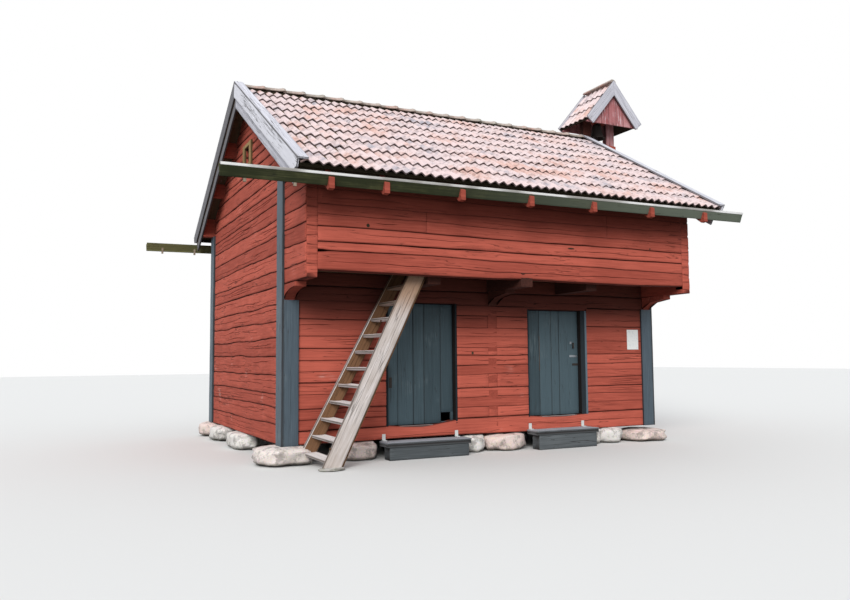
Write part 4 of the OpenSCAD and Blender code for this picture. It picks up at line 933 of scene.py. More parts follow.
PIER_TOP = 1.694
PIER_LINES = {
    "left": [.158, .290, .418, .584, .725, .854, .981, 1.130, 1.276, 1.477, PIER_TOP],
    "middle": [.230, .369, .498, .612, .789, .913, 1.040, 1.143, 1.290, 1.398, 1.560,
               PIER_TOP],
    "right": [.233, .375, .493, .599, .720, .825, .920, 1.051, 1.230, 1.440, PIER_TOP],
}
PARTITION = (2.785, 2.925)


class GRANARY_OT_front_wall(bpy.types.Operator):
    """Makes the logs of the lower front wall around the two doors"""
    bl_idname = "granary.front_wall"
    bl_label = "Lower front wall"

    def execute(self, context):
        shape = Shape()
        top = line([(0, .158), (1.3, .172), (2.32, .224), (3.4, .232), (4.42, .228),
                    (5.6, .236)], 41, wave=.004)
        # both door sills are worn hollow
        sills = [(LEFT_DOOR_X, .183), (LEFT_DOOR_X + .25, .160), (LEFT_DOOR_X + .5, .150),
                 (LEFT_END - .3, .170), (LEFT_END, .214)]
        right = [(RIGHT_DOOR_X, .218), (RIGHT_DOOR_X + .3, .196), (RIGHT_DOOR_X + .6, .190),
                 (RIGHT_END - .12, .206), (RIGHT_END, .220)]

        def sill_top(u):
            z = top[0](u) - top[1](u)
            z = np.where((u > LEFT_DOOR_X) & (u < LEFT_END), value_at(sills, u), z)
            return np.where((u > RIGHT_DOOR_X) & (u < RIGHT_END), value_at(right, u), z)

        corners = [e + d for e in (LEFT_DOOR_X, LEFT_END, RIGHT_DOOR_X, RIGHT_END)
                   for d in (-.001, .001)]
        bottom = line([(0, .004), (1.3, .012), (2.5, .020), (3.4, .008), (5.6, -.004)], 42,
                      gap=0.0, wave=.004)
        bar(shape, foot, X, Z, -Y, 0, HOUSE_L, bottom[0], sill_top, LOG_T, 43,
            breaks=corners, bumps=.004, edge=.008,
            cracks=[(.5, 3.3, 5.5, .016, .006), (.22, .9, 2.7, .010, .004)])
        piers = (("left", [(0, LEFT_DOOR_X)], 1), ("middle", None, 2),
                 ("right", [(RIGHT_END, HOUSE_L)], 3))
        for key, stretches, seed in piers:
            heights = PIER_LINES[key]
            rng = np.random.default_rng(seed)
            rounding = [.007] + list(rng.uniform(.0015, .006, len(heights) - 1))
            lines = [top] + [line(z, 50 + seed * 20 + k, gap=.8 * rounding[k + 1],
                                  wave=.007) for k, z in enumerate(heights[1:])]
            if stretches is None:
                # the heads of the partition's logs part every third course
                whole = [(LEFT_END, RIGHT_DOOR_X)]
                split = [(LEFT_END, PARTITION[0] - .002),
                         (PARTITION[0] + .002, PARTITION[1] - .002),
                         (PARTITION[1] + .002, RIGHT_DOOR_X)]
                stretches = [whole if k % 3 else split for k in range(len(lines) - 1)]
            log_rows(shape, foot, X, -Y, lines, stretches, 60 + seed, bumps=.003,
                     crack_share=.35, crack_deep=(.004, .012), edges=rounding)
        head_low = line(PIER_TOP, 81, wave=.005)

        def head_bottom(u):
            # the right door's head is lower than the joint beside it
            z = head_low[0](u) + head_low[1](u)
            z = np.where((u > LEFT_DOOR_X) & (u < LEFT_END), LEFT_DOOR_Z[1], z)
            return np.where((u > RIGHT_DOOR_X) & (u < RIGHT_END), RIGHT_DOOR_Z[1], z)

        middle = line(LOFT_Z, 82)
        # breaks only adds rings near the left end, behind the corner board
        bar(shape, foot, X, Z, -Y, 0, HOUSE_L, head_bottom,
            lambda u: middle[0](u) - middle[1](u), LOG_T, 83, breaks=rounding, bumps=.003,
            edge=.008, cracks=[(.5, .4, 2.6, .01, .005), (.45, 3.2, 5.1, .01, .005)])
        bar(shape, foot, X, Z, -Y, LOG_T, HOUSE_L - LOG_T,
            lambda u: middle[0](u) + middle[1](u), LOFT_FLOOR_Z, LOG_T, 84, bumps=.003)
        # the red of these logs darkens toward the top with painted shade under the gallery
        shape.finish("front_logs", "red_front",
                     replaces=("front_sill", "front_wall_piers", "front_wall_head"),
                     slot="red_logs")
        return {"FINISHED"}


def corner_heads(shape, x_out, along, seed):
    """The stack of interlocked log ends at a corner of the gallery: dovetailed heads of
    the gable logs, with the ends of the front logs between them."""
    rng = np.random.default_rng(seed)
    for k in range(9, 14):
        low, high = k * COURSE + .052, min(k * COURSE + .157, PLATE_Z)
        above = min((k + 1) * COURSE + .052, PLATE_Z)
        for z0, z1, less, more, flare, own in ((low, high, .004, .002, .06, seed + k),
                                               (high, above, -.005, -.007, -.06,
                                                seed + 40 + k)):
            if z0 < PLATE_Z:
                bar(shape, place(x_out, -GALLERY, 0), along, Z, -Y, .012, LOG_T,
                    lambda u: z0 - less + u * flare, lambda u: z1 + more - u * flare,
                    LOG_T, own, edge=.004, bumps=.003, step=.03,
                    tone=rng.uniform(.35, .65))


class GRANARY_OT_gallery(bpy.types.Operator):
    """Makes the overhanging loft wall with its interlocked corners"""
    bl_idname = "granary.gallery"
    bl_label = "Gallery front"

    def execute(self, context):
        shape = Shape()
        first, last = LOG_T + .002, HOUSE_L - LOG_T - .002
        lines = [
            line([(0, 1.975), (1.5, 1.966), (2.8, 1.972), (4.5, 1.962), (5.6, 1.97)], 101,
                 gap=0.0, wave=.006),
            line([(0, 2.190), (1.2, 2.193), (5.6, 2.150)], 102,
                 gap=[(.13, .022), (.25, .018), (.26, .006), (1.1, .004), (1.2, .0015)]),
            line([(0, 2.287), (5.6, 2.300)], 103, gap=.007, wave=.007),
            line([(0, 2.464), (5.6, 2.440)], 104, gap=.005, wave=.007),
            line([(0, 2.595), (1.465, 2.595), (5.6, 2.560)], 105, gap=.001),
            line([(0, 2.700), (5.6, 2.740)], 106, gap=.001),
            line([(0, 2.870), (5.6, 2.880)], 107, gap=.001),
            line(PLATE_Z, 108, gap=.002, wave=.003),
        ]
        # two upright joints, where logs meet end to end
        whole = [(first, last)]
        left_joint = [(first, 1.463), (1.467, last)]
        right_joint = [(first, 4.142), (4.146, last)]
        both = [(first, 1.463), (1.467, 4.142), (4.146, last)]
        spans = [whole, whole, whole, left_joint, both, right_joint, whole]
        cracks = [(0, .40, .2, 5.3, .014, .005), (2, .6, .5, 2.2, .008, .004),
                  (2, .45, 3.5, 5.2, .010, .005), (4, .4, 2.2, 3.9, .007, .004),
                  (5, .5, .3, 1.2, .007, .004), (6, .5, 2.5, 4.5, .007, .004)]
        log_rows(shape, place(0, -GALLERY, 0), X, -Y, lines, spans, 9, bumps=.003,
                 cracks=cracks, crack_share=.3,
                 edges=[.008, .006, .007, .006, .0025, .002, .002, .003])
        corner_heads(shape, 0, X, 120)
        corner_heads(shape, HOUSE_L, -X, 127)
        # the red of the gallery logs darkens toward the top with painted shade under the
        # eaves
        shape.finish("gallery_logs", "red_gallery", replaces=("gallery_wall",),
                     slot="red_logs")
        return {"FINISHED"}


def roof_end(front):
    """The place along the gable where a slope's underside is at a height."""
    apex = UNDER_RIDGE - .004

    def at(level):
        reach = np.clip((apex - level) / TAN_P, 0.0, RIDGE_Y + GALLERY)
        return RIDGE_Y - reach if front else RIDGE_Y + reach

    return at


class GRANARY_OT_gables(bpy.types.Operator):
    """Makes the logs of both gables, with the cut-outs for their windows"""
    bl_idname = "granary.gables"
    bl_label = "Gables"

    def execute(self, context):
        low, high = WINDOW_Z
        roof = roof_end(True), roof_end(False)
        tops = [PLATE_Z + .05, 3.25, 3.46, 3.60, low, 3.850, high, 4.13, 4.30, 4.47, 4.72]
        for side, x, out, seed in (("left", 0, -X, 200), ("right", HOUSE_L, X, 400)):
            shape, upper = Shape(), Shape()
            rng = np.random.default_rng(seed)
            origin = place(x, 0, 0)

            def uneven(base, count):
                return [base + k * COURSE + rng.uniform(-.03, .03) for k in range(1, count)]

            house = [line(z, seed + k, gap=.005, wave=.014 if k else .004)
                     for k, z in enumerate([0.0] + uneven(0, 9))]
            shared = line(LOFT_Z, seed + 9, gap=.008, wave=.006)
            loft = [line(z, seed + 20 + k, gap=.005, wave=.014)
                    for k, z in enumerate(uneven(LOFT_Z, 6))]
            loft.append(line(PLATE_Z + .05, seed + 27, gap=.008))
            for lines, start, own in ((house + [shared], 0, 1),
                                      ([shared] + loft, -GALLERY + .004, 2)):
                log_rows(shape, origin, Y, out, lines, [(start, HOUSE_D)], seed + own,
                         bumps=.008, crack_share=1, crack_run=(.7, 3.2),
                         crack_deep=(.009, .017), edge=.006, step=.045)
            shape.finish(side + "_gable_logs_lower", "red_gable", slot="red_logs")
            marks = [line(z, seed + 27 + k, gap=.008, wave=.002 if z in WINDOW_Z else .010)
                     for k, z in enumerate(tops)]
            for k in range(len(tops) - 1):
                mid = (tops[k] + tops[k + 1]) / 2
                beside = low <= mid <= high
                cuts = [roof]
                if beside:
                    cuts = [(roof[0], at_place(WINDOW_Y[0])),
                            (at_place(WINDOW_Y[1]), roof[1])]
                for n, cut in enumerate(cuts):
                    ends = tuple(float(end(np.array(mid))) for end in cut)
                    log_rows(upper, origin, Y, out, marks[k:k + 2], [ends],
                             seed + 50 + k * 3 + n, cut=cut, bumps=.007,
                             crack_share=.2 if beside else .6, crack_run=(.5, 2.0),
                             edge=.008, step=.045)
            upper.finish(side + "_gable_logs_upper", "red_gable",
                         replaces=("lower_gables", "upper_gables") if side == "left"
                         else (), slot="red_logs")
        return {"FINISHED"}


class GRANARY_OT_back_wall(bpy.types.Operator):
    """Makes the logs of the back wall"""
    bl_idname = "granary.back_wall"
    bl_label = "Back wall"

    def execute(self, context):
        shape = Shape()
        rng = np.random.default_rng(7)
        heights = [0.0] + [COURSE * (k + .5) + rng.uniform(-.02, .02) for k in range(14)]
        heights[-1] = PLATE_Z
        lines = [line(z, 700 + k, gap=.008) for k, z in enumerate(heights)]
        spans = [[(LOG_T * .2, HOUSE_L - LOG_T * .2)] for k in range(14)]
        for k, share in ((5, .35 + .3), (10, .35)):
            spans[k] = [(LOG_T * .2, HOUSE_L * share),
                        (HOUSE_L * share + .004, HOUSE_L - LOG_T * .2)]
        log_rows(shape, place(0, HOUSE_D, 0), X, Y, lines, spans, 71, bumps=.005,
                 crack_share=.6, edge=.009)
        shape.finish("back_wall_logs", "red_logs", replaces=("back_wall",),
                     slot="red_logs")
        return {"FINISHED"}


class GRANARY_OT_timbers(bpy.types.Operator):
    """Makes the roof timbers and corbels, and finishes beams, floors and partition"""
    bl_idname = "granary.timbers"
    bl_label = "Timbers and floors"

    def execute(self, context):
        shape = Shape()
        x0, x1 = -.187, HOUSE_L + .187
        # plates and purlins; the ridge beam runs on without its crest to carry the turret
        for back in (0, 1):
            for k, (mid, low) in enumerate(((2.4225, PLATE_Z), (1.7, None), (.93, None))):
                half = LOG_T / 2 if k == 0 else .07
                y_near = RIDGE_Y - mid - half
                inner, outer = (UNDER_RIDGE - (mid + way * half) * TAN_P for way in (-1, 1))
                base = low if low else outer - .12
                outline = [(y_near, base), (y_near + 2 * half, base),
                           (y_near + 2 * half, inner - .002), (y_near, outer - .002)]
                if back:
                    outline = [(2 * RIDGE_Y - y, z) for y, z in outline]
                prism(shape, foot, X, Y, Z, outline, x0, x1, 300 + k + 5 * back,
                      edge=.012)
        top = UNDER_RIDGE - .07 * TAN_P
        beam = [(RIDGE_Y - .07, top), (RIDGE_Y - .07, top - .12),
                (RIDGE_Y + .07, top - .12), (RIDGE_Y + .07, top)]
        prism(shape, foot, X, Y, Z, beam[1:] + [(RIDGE_Y, UNDER_RIDGE - .003), beam[0]], x0,
              5.725, 310, edge=.012)
        prism(shape, foot, X, Y, Z, beam[1:] + beam[:1], 5.725, 6.433, 311, edge=.012)
        shape.finish("roof_timber_logs", "red_logs", replaces=("roof_timbers",),
                     slot="red_logs")
        carved, shaded, knots = Shape(), Shape(), Shape()
        low, nose, reach = 1.7, .051, .45
        hollow = LOFT_Z - low - nose
        turns = [math.radians(a) for a in range(0, 91, 10)]
        outline = [(0, LOFT_Z)] + [(-reach * (1 - math.cos(a)), low + hollow * math.sin(a))
                                   for a in turns] + [(-reach, LOFT_Z)]
        for k, x in enumerate((0, 2.7885, HOUSE_L - LOG_T)):
            prism(shaded if k == 1 else carved, foot, X, Y, Z, outline, x, x + LOG_T,
                  320 + k, edge=.008)
        # the middle corbel takes the dark copy of the red, as painted shade
        shaded.finish("carved_log_end_middle", "red_shade", slot="red_logs")
        # knot holes as dark discs: painted shade for their depth
        for k, (x, y, z, wide, tall) in enumerate((
                (2.546, 0, 1.070, .017, .018), (.728, -GALLERY, 2.501, .020, .022),
                (3.547, -GALLERY, 2.399, .055, .010), (4.88, -GALLERY, 2.47, .012, .012))):
            prism(knots, place(x, y, z), Y, X, Z, oval(wide, tall, np.arange(0, 360, 45)),
                  -.003, .012, 330 + k, edge=.001)
        knots.finish("knot_holes", "dark_board", slot="red_logs")
        carved.finish("carved_log_ends", "red_logs", replaces=("gallery_corbels",),
                      slot="red_logs")
        # painted shade on the floor beams, and on the partition's heads under the gallery
        dress(floor_beams="red_shade", partition_wall="red_timber_y", ground_floor="inner",
              loft_floor="inner", roof_boards_front="inner", roof_boards_back="inner")
        return {"FINISHED"}


def tile_shape(width, length, roll, dip=.026):
    """One clay tile with two peaked rolls, its lower end at the front, lying along +Y. Its
    upper end dips under the next course, and its right edge under the next tile."""
    rolls, thick, lean = 2, .014, .004
    n = 8 * rolls + 1
    across = np.linspace(0, 1, n)
    peak = 1 - np.abs(2 * (across * rolls % 1) - 1)
    wave = .5 * peak + .25 * (1 - np.cos(2 * math.pi * rolls * across))
    x = (across - .5) * (width + .012)
    shape = Shape()
    runs = np.array([0, .002, length * .5, length])
    rings = []
    for y in runs:
        top = np.stack([x, np.full(n, y), roll * (wave - 1) - lean * across
                        - dip * y / length], -1)
        rings.append(np.concatenate([top, top[::-1] - np.array([0, 0, thick])]))
    around = np.arange(2 * n + 1) * (width + .012) / (n - 1)
    # painted shade on the flank that faces the sun, to even it out against the shaded flank
    lit_flank_shade = .07 * (1 + np.sin(2 * math.pi * rolls * across))
    # the troughs darker, and the underside painted dark as shade
    troughs_and_shade = np.concatenate([(1 - wave) ** 2 * .08 + lit_flank_shade, np.full(n, .8)])
    # painted shade: each tile's lower end is fully dark as the shadow line under its
    # course, and the upper end is darker toward the lap
    dirt = np.stack([troughs_and_shade * 0 + 1, troughs_and_shade, troughs_and_shade, troughs_and_shade + .12]).clip(0, 1)
    shape.sweep(np.array(rings)[:, ::-1], around, runs, .5, dirt[:, ::-1], strip=True)
    return shape.finish("tile_pattern", None, body=None, sharp=50)


class GRANARY_OT_roof_tiles(bpy.types.Operator):
    """Lays the clay tiles of both slopes in courses with Geometry Nodes"""
    bl_idname = "granary.roof_tiles"
    bl_label = "Roof tiles"

    def execute(self, context):
        sizes = context.scene.granary_sizes
        step = SLOPE_L / sizes.tile_courses
        one = tile_shape(sizes.tile_pitch, step + .05, sizes.tile_roll)
        last = tile_shape(sizes.tile_pitch, step - .08, sizes.tile_roll, dip=.030)
        rows = sizes.tile_courses - 1
        columns = 25
        first = HOUSE_L / 2 - (columns - 1) / 2 * sizes.tile_pitch
        for back in (False, True):
            down, normal = slope(Y if back else -Y)
            eave = place(0, RIDGE_Y, RIDGE_Z) + down * SLOPE_L - normal * .023
            start = eave + X * first
            name = "back" if back else "front"
            parts = [repeat(name + "_tiles" + end, tile, columns, count, spot,
                            X * sizes.tile_pitch, -down * step, "tiles",
                            turn=(PITCH, 0, math.pi * back),
                            jitter=sizes.tile_tilt * .6, shift=.003,
                            seed=12 + back + 7 * k)
                     for k, (end, tile, count, spot) in enumerate((
                         ("", one, rows, start),
                         ("_top", last, 1, start - down * step * rows)))]
            fit(joined(name + "_tiles", parts), "building", ("roof_tiles_" + name,))
        bpy.data.objects.remove(one)
        bpy.data.objects.remove(last)
        return {"FINISHED"}


class GRANARY_OT_ridge_tiles(bpy.types.Operator):
    """Lays the half-round ridge tiles with Geometry Nodes"""
    bl_idname = "granary.ridge_tiles"
    bl_label = "Ridge tiles"

    def execute(self, context):
        n = 13
        x0, x1 = -.112, 5.712
        count = 20
        length = (x1 - x0) / count
        angles = np.radians(np.linspace(28, 152, n))
        shape = Shape()
        rings = []
        runs = np.array([-.03, .12, .2, .24, .265, length])
        for x, r in zip(runs, (.110, .113, .117, .124, .132, .128)):
            rings.append(np.concatenate([
                np.stack([np.full(n, x), np.cos(turn) * reach, np.sin(turn) * reach], -1)
                for turn, reach in ((angles, r), (angles[::-1], r - .016))]))
        # painted shade: the whole inside of each ridge tile is dark, and its ends and edges
        # darker
        dirt = np.full((len(runs), 2 * n), .05)
        dirt[0] = dirt[-1] = .8
        dirt[:, n:] = 1
        dirt[:, [0, n - 1]] = .6
        shape.sweep(np.array(rings), np.arange(2 * n + 1) * .02, runs, .5, dirt, strip=True)
        one = shape.finish("ridge_pattern", None, body=None, sharp=50)
        centre = RIDGE_Z - .025 / COS_P - .125 * TAN_P - .040
        start = place(x0, RIDGE_Y, centre)
        obj = repeat("ridge_row", one, count, 1, start, X * length, Z, "ridge_tiles",
                     jitter=.010, shift=.003, seed=31)
        bpy.data.objects.remove(one)
        fit(obj, "building", ("ridge_tiles",))
        # painted shade: a dark bar under the ridge tiles, so that the gaps beneath them
        # look dark
        bed = Shape()
        prism(bed, place(0, RIDGE_Y, RIDGE_Z), X, Y, Z,
              [(-.09, -.16), (.09, -.16), (.09, -.115), (0, -.065), (-.09, -.115)],
              x0 + .02, x1 - .02, 32)
        bed.finish("ridge_bedding", "dark_board", slot="slate_boards")
        return {"FINISHED"}


def slope_bar(shape, x, out, back, n0, n1, s_to, thick, seed, **more):
    """A board along a slope of the roof, from a plumb cut at the ridge. n0 and n1 are
    depths under the upper plane, and s_to gives its lower end as a function of the
    depth."""
    def s_from(n):
        return n * TAN_P

    down, normal = slope(Y if back else -Y)
    u0, u1 = float(s_from(np.array(n0))), float(s_to(np.array(n0)))
    bar(shape, place(x, RIDGE_Y, RIDGE_Z), down, -normal, out, u0, u1, n0, n1, thick, seed,
        cut=(s_from, s_to), **more)


class GRANARY_OT_verges(bpy.types.Operator):
    """Makes the barge boards, their covers and the boards under the eaves"""
    bl_idname = "granary.verges"
    bl_label = "Barge boards and fascias"

    def execute(self, context):
        outer, inner, cover, fascia, lath, dark, batten = (Shape() for _ in range(7))
        end_z = 2.976
        short = at_place(SLOPE_L - .07)

        def level_cut(n):
            """The lower end of the outer boards, cut level at end_z."""
            return np.minimum((RIDGE_Z - n * COS_P - end_z) / SIN_P, SLOPE_L)

        seed = 500
        for x, out in ((-VERGE, -X), (HOUSE_L + VERGE, X)):
            for back in (False, True):
                seed += 5
                # the boards on the back slope are painted dark grey as shade
                slope_bar(dark if back else outer, x, out, back, .025, .205, level_cut,
                          .025, seed, edge=.004, both_faces=True, tone=1,
                          cracks=[(.4, .6, 2.6, .004, .002)])
                # a thin brown strip under each outer barge board: a painted shadow line
                # between the outer and inner boards
                slope_bar(batten, x - .0215 * out.x, out, back, .205, .219, short, .004,
                          seed + 3, edge=.001, bumps=.001)
                slope_bar(dark if back else inner, x - .025 * out.x, out, back, STACK, .332,
                          short, .025, seed + 1, edge=.004, both_faces=True)
                down, normal = slope(Y if back else -Y)
                board(cover, place(x, RIDGE_Y, RIDGE_Z), down, -out, normal, 0, SLOPE_L, 0,
                      .125, .0245, seed + 2, edge=.004, bumps=.0015, tone=.45,
                      cracks=[(.45, .3, 3.0, .006, .002), (.7, 1.2, 2.6, .005, .002)])
        # the fascias and a dark lath below each are painted dark as the shade under the
        # eaves
        for back in (0, 1):
            down, normal = slope(Y if back else -Y)
            spot = place(0, RIDGE_Y, RIDGE_Z) + down * (SLOPE_L - .07 + .022)
            board(fascia, spot, X, -normal, down, -.212, HOUSE_L + .212, .075, .123, .022,
                  560 + back)
            board(lath, spot - down * .045, X, -normal, down, -.18, HOUSE_L + .18, .110,
                  .165, .020, 570 + back)
        for shape, name, key, replaces, slot in (
                (outer, "barge_boards", "silver", True, "grey_wood"),
                (inner, "inner_barge_boards", "silver", True, "grey_wood"),
                (cover, "cover_boards", "silver", True, "grey_wood"),
                (fascia, "fascias", "dark_board", True, "slate_boards"),
                (lath, "laths", "dark_board", False, "slate_boards"),
                (dark, "boards_behind", "grey_board", False, "grey_wood"),
                (batten, "battens", "stair_brown", False, "bare_wood")):
            shape.finish("verge_" + name, key, replaces=(name,) * replaces, slot=slot)
        return {"FINISHED"}


GUTTER_TOP = 2.967
GUTTER_Y = -1.275
GUTTER_LEAN = .056
GUTTER_H = .130
GUTTER_FALL = .044 / 5.6


class GRANARY_OT_gutters(bpy.types.Operator):
    """Makes the wooden gutters and the hooks and cleats that hold them"""
    bl_idname = "granary.gutters"
    bl_label = "Gutters"

    def execute(self, context):
        outer, inner, cleats, rim = (Shape() for _ in range(4))
        ends = -1.007 - HOUSE_L / 2, HOUSE_L + .595 - HOUSE_L / 2
        ahead = Vector((1, 0, GUTTER_FALL)).normalized()
        slant = math.hypot(GUTTER_LEAN, GUTTER_H)
        hooks = []
        for back in (0, 1):
            y_top = 2 * RIDGE_Y - GUTTER_Y if back else GUTTER_Y
            middle = place(HOUSE_L / 2, y_top, GUTTER_TOP)
            toward = -Y if back else Y

            def lie(way):
                """Across a plank of the V and out of its face, for each side of it."""
                return ((toward * way * GUTTER_LEAN - Z * GUTTER_H) / slant,
                        (toward * -way * GUTTER_H - Z * GUTTER_LEAN) / slant)

            across, out = lie(1)
            board(outer, middle, ahead, across, out, *ends, .004, slant, .0198, 600 + back,
                  step=.1)
            # a white strip on each gutter's top edge: pale wood with a painted highlight
            board(rim, middle + out * .003, ahead, across, out, *ends, -.001, .026, .026,
                  605 + back, edge=.002, bumps=.0005, step=.1, tone=1)
            board(inner, middle + toward * 2 * GUTTER_LEAN, ahead, *lie(-1), *ends, 0,
                  slant - .022, .0198, 610 + back, step=.1)
            low = GUTTER_TOP - GUTTER_H
            mid_y = GUTTER_Y + GUTTER_LEAN

            def drop_at(x):
                return (x - HOUSE_L / 2) * GUTTER_FALL - .0003

            def sided(points):
                return [(2 * RIDGE_Y - y if back else y, z) for y, z in points]

            for x in (-.77, -.252):
                fall = drop_at(x)
                prism(cleats, foot, X, Y, Z, sided([
                    (mid_y, low + fall),
                    (mid_y + GUTTER_LEAN / 2, low + GUTTER_H / 2 + fall),
                    (mid_y + GUTTER_LEAN / 2, low - .032 + fall),
                    (mid_y, low - .032 + fall)]), x, x + .03, 620, edge=.003)
            hook = Shape()
            horn_y = GUTTER_Y + .3 * GUTTER_LEAN
            horn_z = GUTTER_TOP - .3 * GUTTER_H
            arm_y = GUTTER_Y + 2 * GUTTER_LEAN + .038
            under = UNDER_RIDGE - (RIDGE_Y - arm_y) * TAN_P
            prism(hook, foot, X, Y, Z, sided([
                (-GALLERY, PLATE_TOP - .001), (arm_y, under - .001),
                (GUTTER_Y + 2 * GUTTER_LEAN, GUTTER_TOP),
                (mid_y, low), (horn_y, horn_z), (horn_y - .025, horn_z - .0125),
                (horn_y - .025, low - .0368), (mid_y, low - .046),
                (-GALLERY, PLATE_TOP - .165)]),
                -.03, .03, 630, edge=.005)
            one = hook.finish("hook_pattern", None, body=None)
            for n, count, x in ((0, 1, .14), (1, 6, .771)):
                start = Vector((x, 0, drop_at(x)))
                step = Vector((.94, 0, .94 * GUTTER_FALL))
                hooks.append(repeat("hooks_%d_%d" % (back, n), one, count, 1, start, step,
                                    Z, "red_logs", seed=3 + n + back))
            bpy.data.objects.remove(one)
        outer.finish("gutter_planks_outer", "gutter",
                     replaces=("gutter_outer_planks",), slot="grey_wood")
        inner.finish("gutter_planks_inner", "gutter",
                     replaces=("gutter_inner_planks",), slot="grey_wood")
        cleats.finish("gutter_clamps", "clamp", replaces=("gutter_cleats",),
                      slot="grey_wood")
        rim.finish("gutter_rims", "rim", slot="grey_wood")
        fit(joined("gutter_hook_row", hooks), "building", ("gutter_hooks",))
        return {"FINISHED"}


class GRANARY_OT_corner_boards(bpy.types.Operator):
    """Makes the painted boards that cover the log ends at the corners"""
    bl_idname = "granary.corner_boards"
    bl_label = "Corner boards"

    def execute(self, context):
        front, gable = Shape(), Shape()
        for seed, x, way in ((710, 0, X), (720, HOUSE_L, -X)):
            beside = x - way.x * .03
            for n, (shape, spot, across, out, top, low, high, cracks) in enumerate((
                    (front, (x, -.03, 0), way, -Y, 1.7, 0, .18, [(.5, .2, .9, .004, .002)]),
                    (front, (x, HOUSE_D + .03, 0), way, Y, PLATE_Z, 0, .18, ()),
                    (gable, (beside, 0, 0), Y, -way, PLATE_TOP, -.03, .205,
                     [(.4, .2, 1.5, .004, .002)]),
                    (gable, (beside, HOUSE_D, 0), -Y, -way, PLATE_Z, -.03, .205, ()))):
                bar(shape, place(*spot), Z, across, out, 0, top, low, high, .03, seed + n,
                    edge=.003, cracks=cracks)
        front.finish("front_corner_covers", "slate", replaces=("corner_boards",),
                     slot="slate_boards")
        gable.finish("gable_corner_covers", "slate",
                     replaces=("gable_corner_boards",), slot="slate_boards")
        return {"FINISHED"}


def door_leaf(shape, edge_x, way, width, z0, z1, seams, seed, hole=None):
    """Upright boards and two ledges behind them. edge_x is the hinge edge, way points to
    the free edge, seams gives the joints between the boards as shares of the width and
    hole is the cat hole's from and to, across and up."""
    rng = np.random.default_rng(seed)
    cuts = np.array([0, *seams, 1]) * width
    low, high = z0 + .008, z1 - .008
    start = place(edge_x, .058, 0)
    for k in range(len(seams) + 1):
        a, b = cuts[k] + .001, cuts[k + 1] - .001
        pieces = [(low, high)]
        if hole and a < hole[1] and b > hole[0]:
            pieces = [(low, hole[2]), (hole[3], high)]
        for n, (p, q) in enumerate(pieces):
            board(shape, start - Y * rng.uniform(-.002, .003), Z, way, -Y, p, q, a, b, .032,
                  seed + 5 * k + n, edge=.0035 if q - p > .1 else .002, bumps=.0015,
                  cracks=[(.5, .3, 1.0, .003, .0015)] if k % 2 else ())
    if hole:
        for a, b in ((cuts[0] + .001, hole[0]), (hole[1], cuts[1] - .001)):
            if b - a > .02:
                board(shape, start, Z, way, -Y, hole[2] - .004, hole[3] + .004, a, b, .03,
                      seed + 77, edge=.002)
    for share in (.2, .8):
        z = z0 + (z1 - z0) * share
        board(shape, place(edge_x, .0925, 0), way, Z, -Y, .045, width - .045, z - .065,
              z + .065, .0235, seed + 60 + int(z * 10))


class GRANARY_OT_doors(bpy.types.Operator):
    """Makes both door leaves, their jambs and their ironwork"""
    bl_idname = "granary.doors"
    bl_label = "Doors"

    def execute(self, context):
        jamb, wide_jamb, gap = .03, .11, .008
        left_edge = LEFT_END - jamb - gap
        right_edge = RIGHT_DOOR_X + jamb + gap
        left_w = DOOR_W - 2 * jamb - 2 * gap
        right_w = DOOR_W - jamb - wide_jamb - 2 * gap
        left, right, crack, hasp, posts, edge_board, sills = (Shape() for _ in range(7))
        door_leaf(left, left_edge, -X, left_w, *LEFT_DOOR_Z, (.19, .447, .612, .845), 800,
                  hole=(.04, .175, .196, .311))
        left.finish("left_door_boards", "door_paint", body="left_door_leaf",
                    replaces=("left_door", "left_door_foot"), slot="slate_boards")
        door_leaf(right, right_edge, X, right_w, *RIGHT_DOOR_Z, (.226, .46, .616), 850)
        bar(crack, place(right_edge + .226 * right_w, .0575, 0), Z, X, -Y, .82, 1.30, -.003,
            .003, .004, 869, edge=.001, bumps=.001)
        crack.finish("right_door_crack", "stair_brown", body="right_door_leaf",
                     slot="slate_boards")
        # the hasp is pale iron: worn bright, with a painted glint
        for seed, u0, u1, low, high in ((871, -.150, -.02, 1.005, 1.035),
                                        (872, -.140, -.105, 1.19, 1.225)):
            bar(hasp, place(right_edge + right_w, .0535, 0), X, Z, -Y, u0, u1, low, high,
                .004, seed, edge=.001, bumps=.0005)
        hasp.finish("right_door_hasp", "worn_iron", body="right_door_leaf", slot="old_iron")
        right.finish("right_door_boards", "door_paint", body="right_door_leaf",
                     replaces=("right_door",), slot="slate_boards")
        for k, (x, w, height) in enumerate((
                (LEFT_DOOR_X, jamb, LEFT_DOOR_Z), (LEFT_END - jamb, jamb, LEFT_DOOR_Z),
                (RIGHT_DOOR_X, jamb * .7, RIGHT_DOOR_Z),
                (RIGHT_END - wide_jamb, wide_jamb, RIGHT_DOOR_Z))):
            bar(posts, place(x, 0, 0), Z, X, -Y, *height, 0, w, LOG_T, 880 + k, edge=.003,
                bumps=.001)
        bar(edge_board, place(RIGHT_END - .036, -.003, 0), Z, X, -Y, *RIGHT_DOOR_Z, 0, .036,
            .02, 885, edge=.002, bumps=.001)
        edge_board.finish("door_edge_board", "slate", slot="slate_boards")
        for k, (x0, x1, z) in enumerate(((LEFT_DOOR_X, LEFT_END, .165),
                                         (RIGHT_DOOR_X, RIGHT_END, .201))):
            bar(sills, place(0, .006, z), X, Y, Z, x0, x1, 0, .08, .03, 886 + k,
                edge=.003, bumps=.003)
        sills.finish("trodden_door_sills", "worn_sill", slot="red_logs")
        # the jambs take the near-black paint, painted shade in the reveals
        posts.finish("door_posts", "jamb_paint", replaces=("door_jambs",),
                     slot="slate_boards")
        dress(left_door_ironwork="iron", right_door_ironwork="iron", door_pintles="iron")
        return {"FINISHED"}


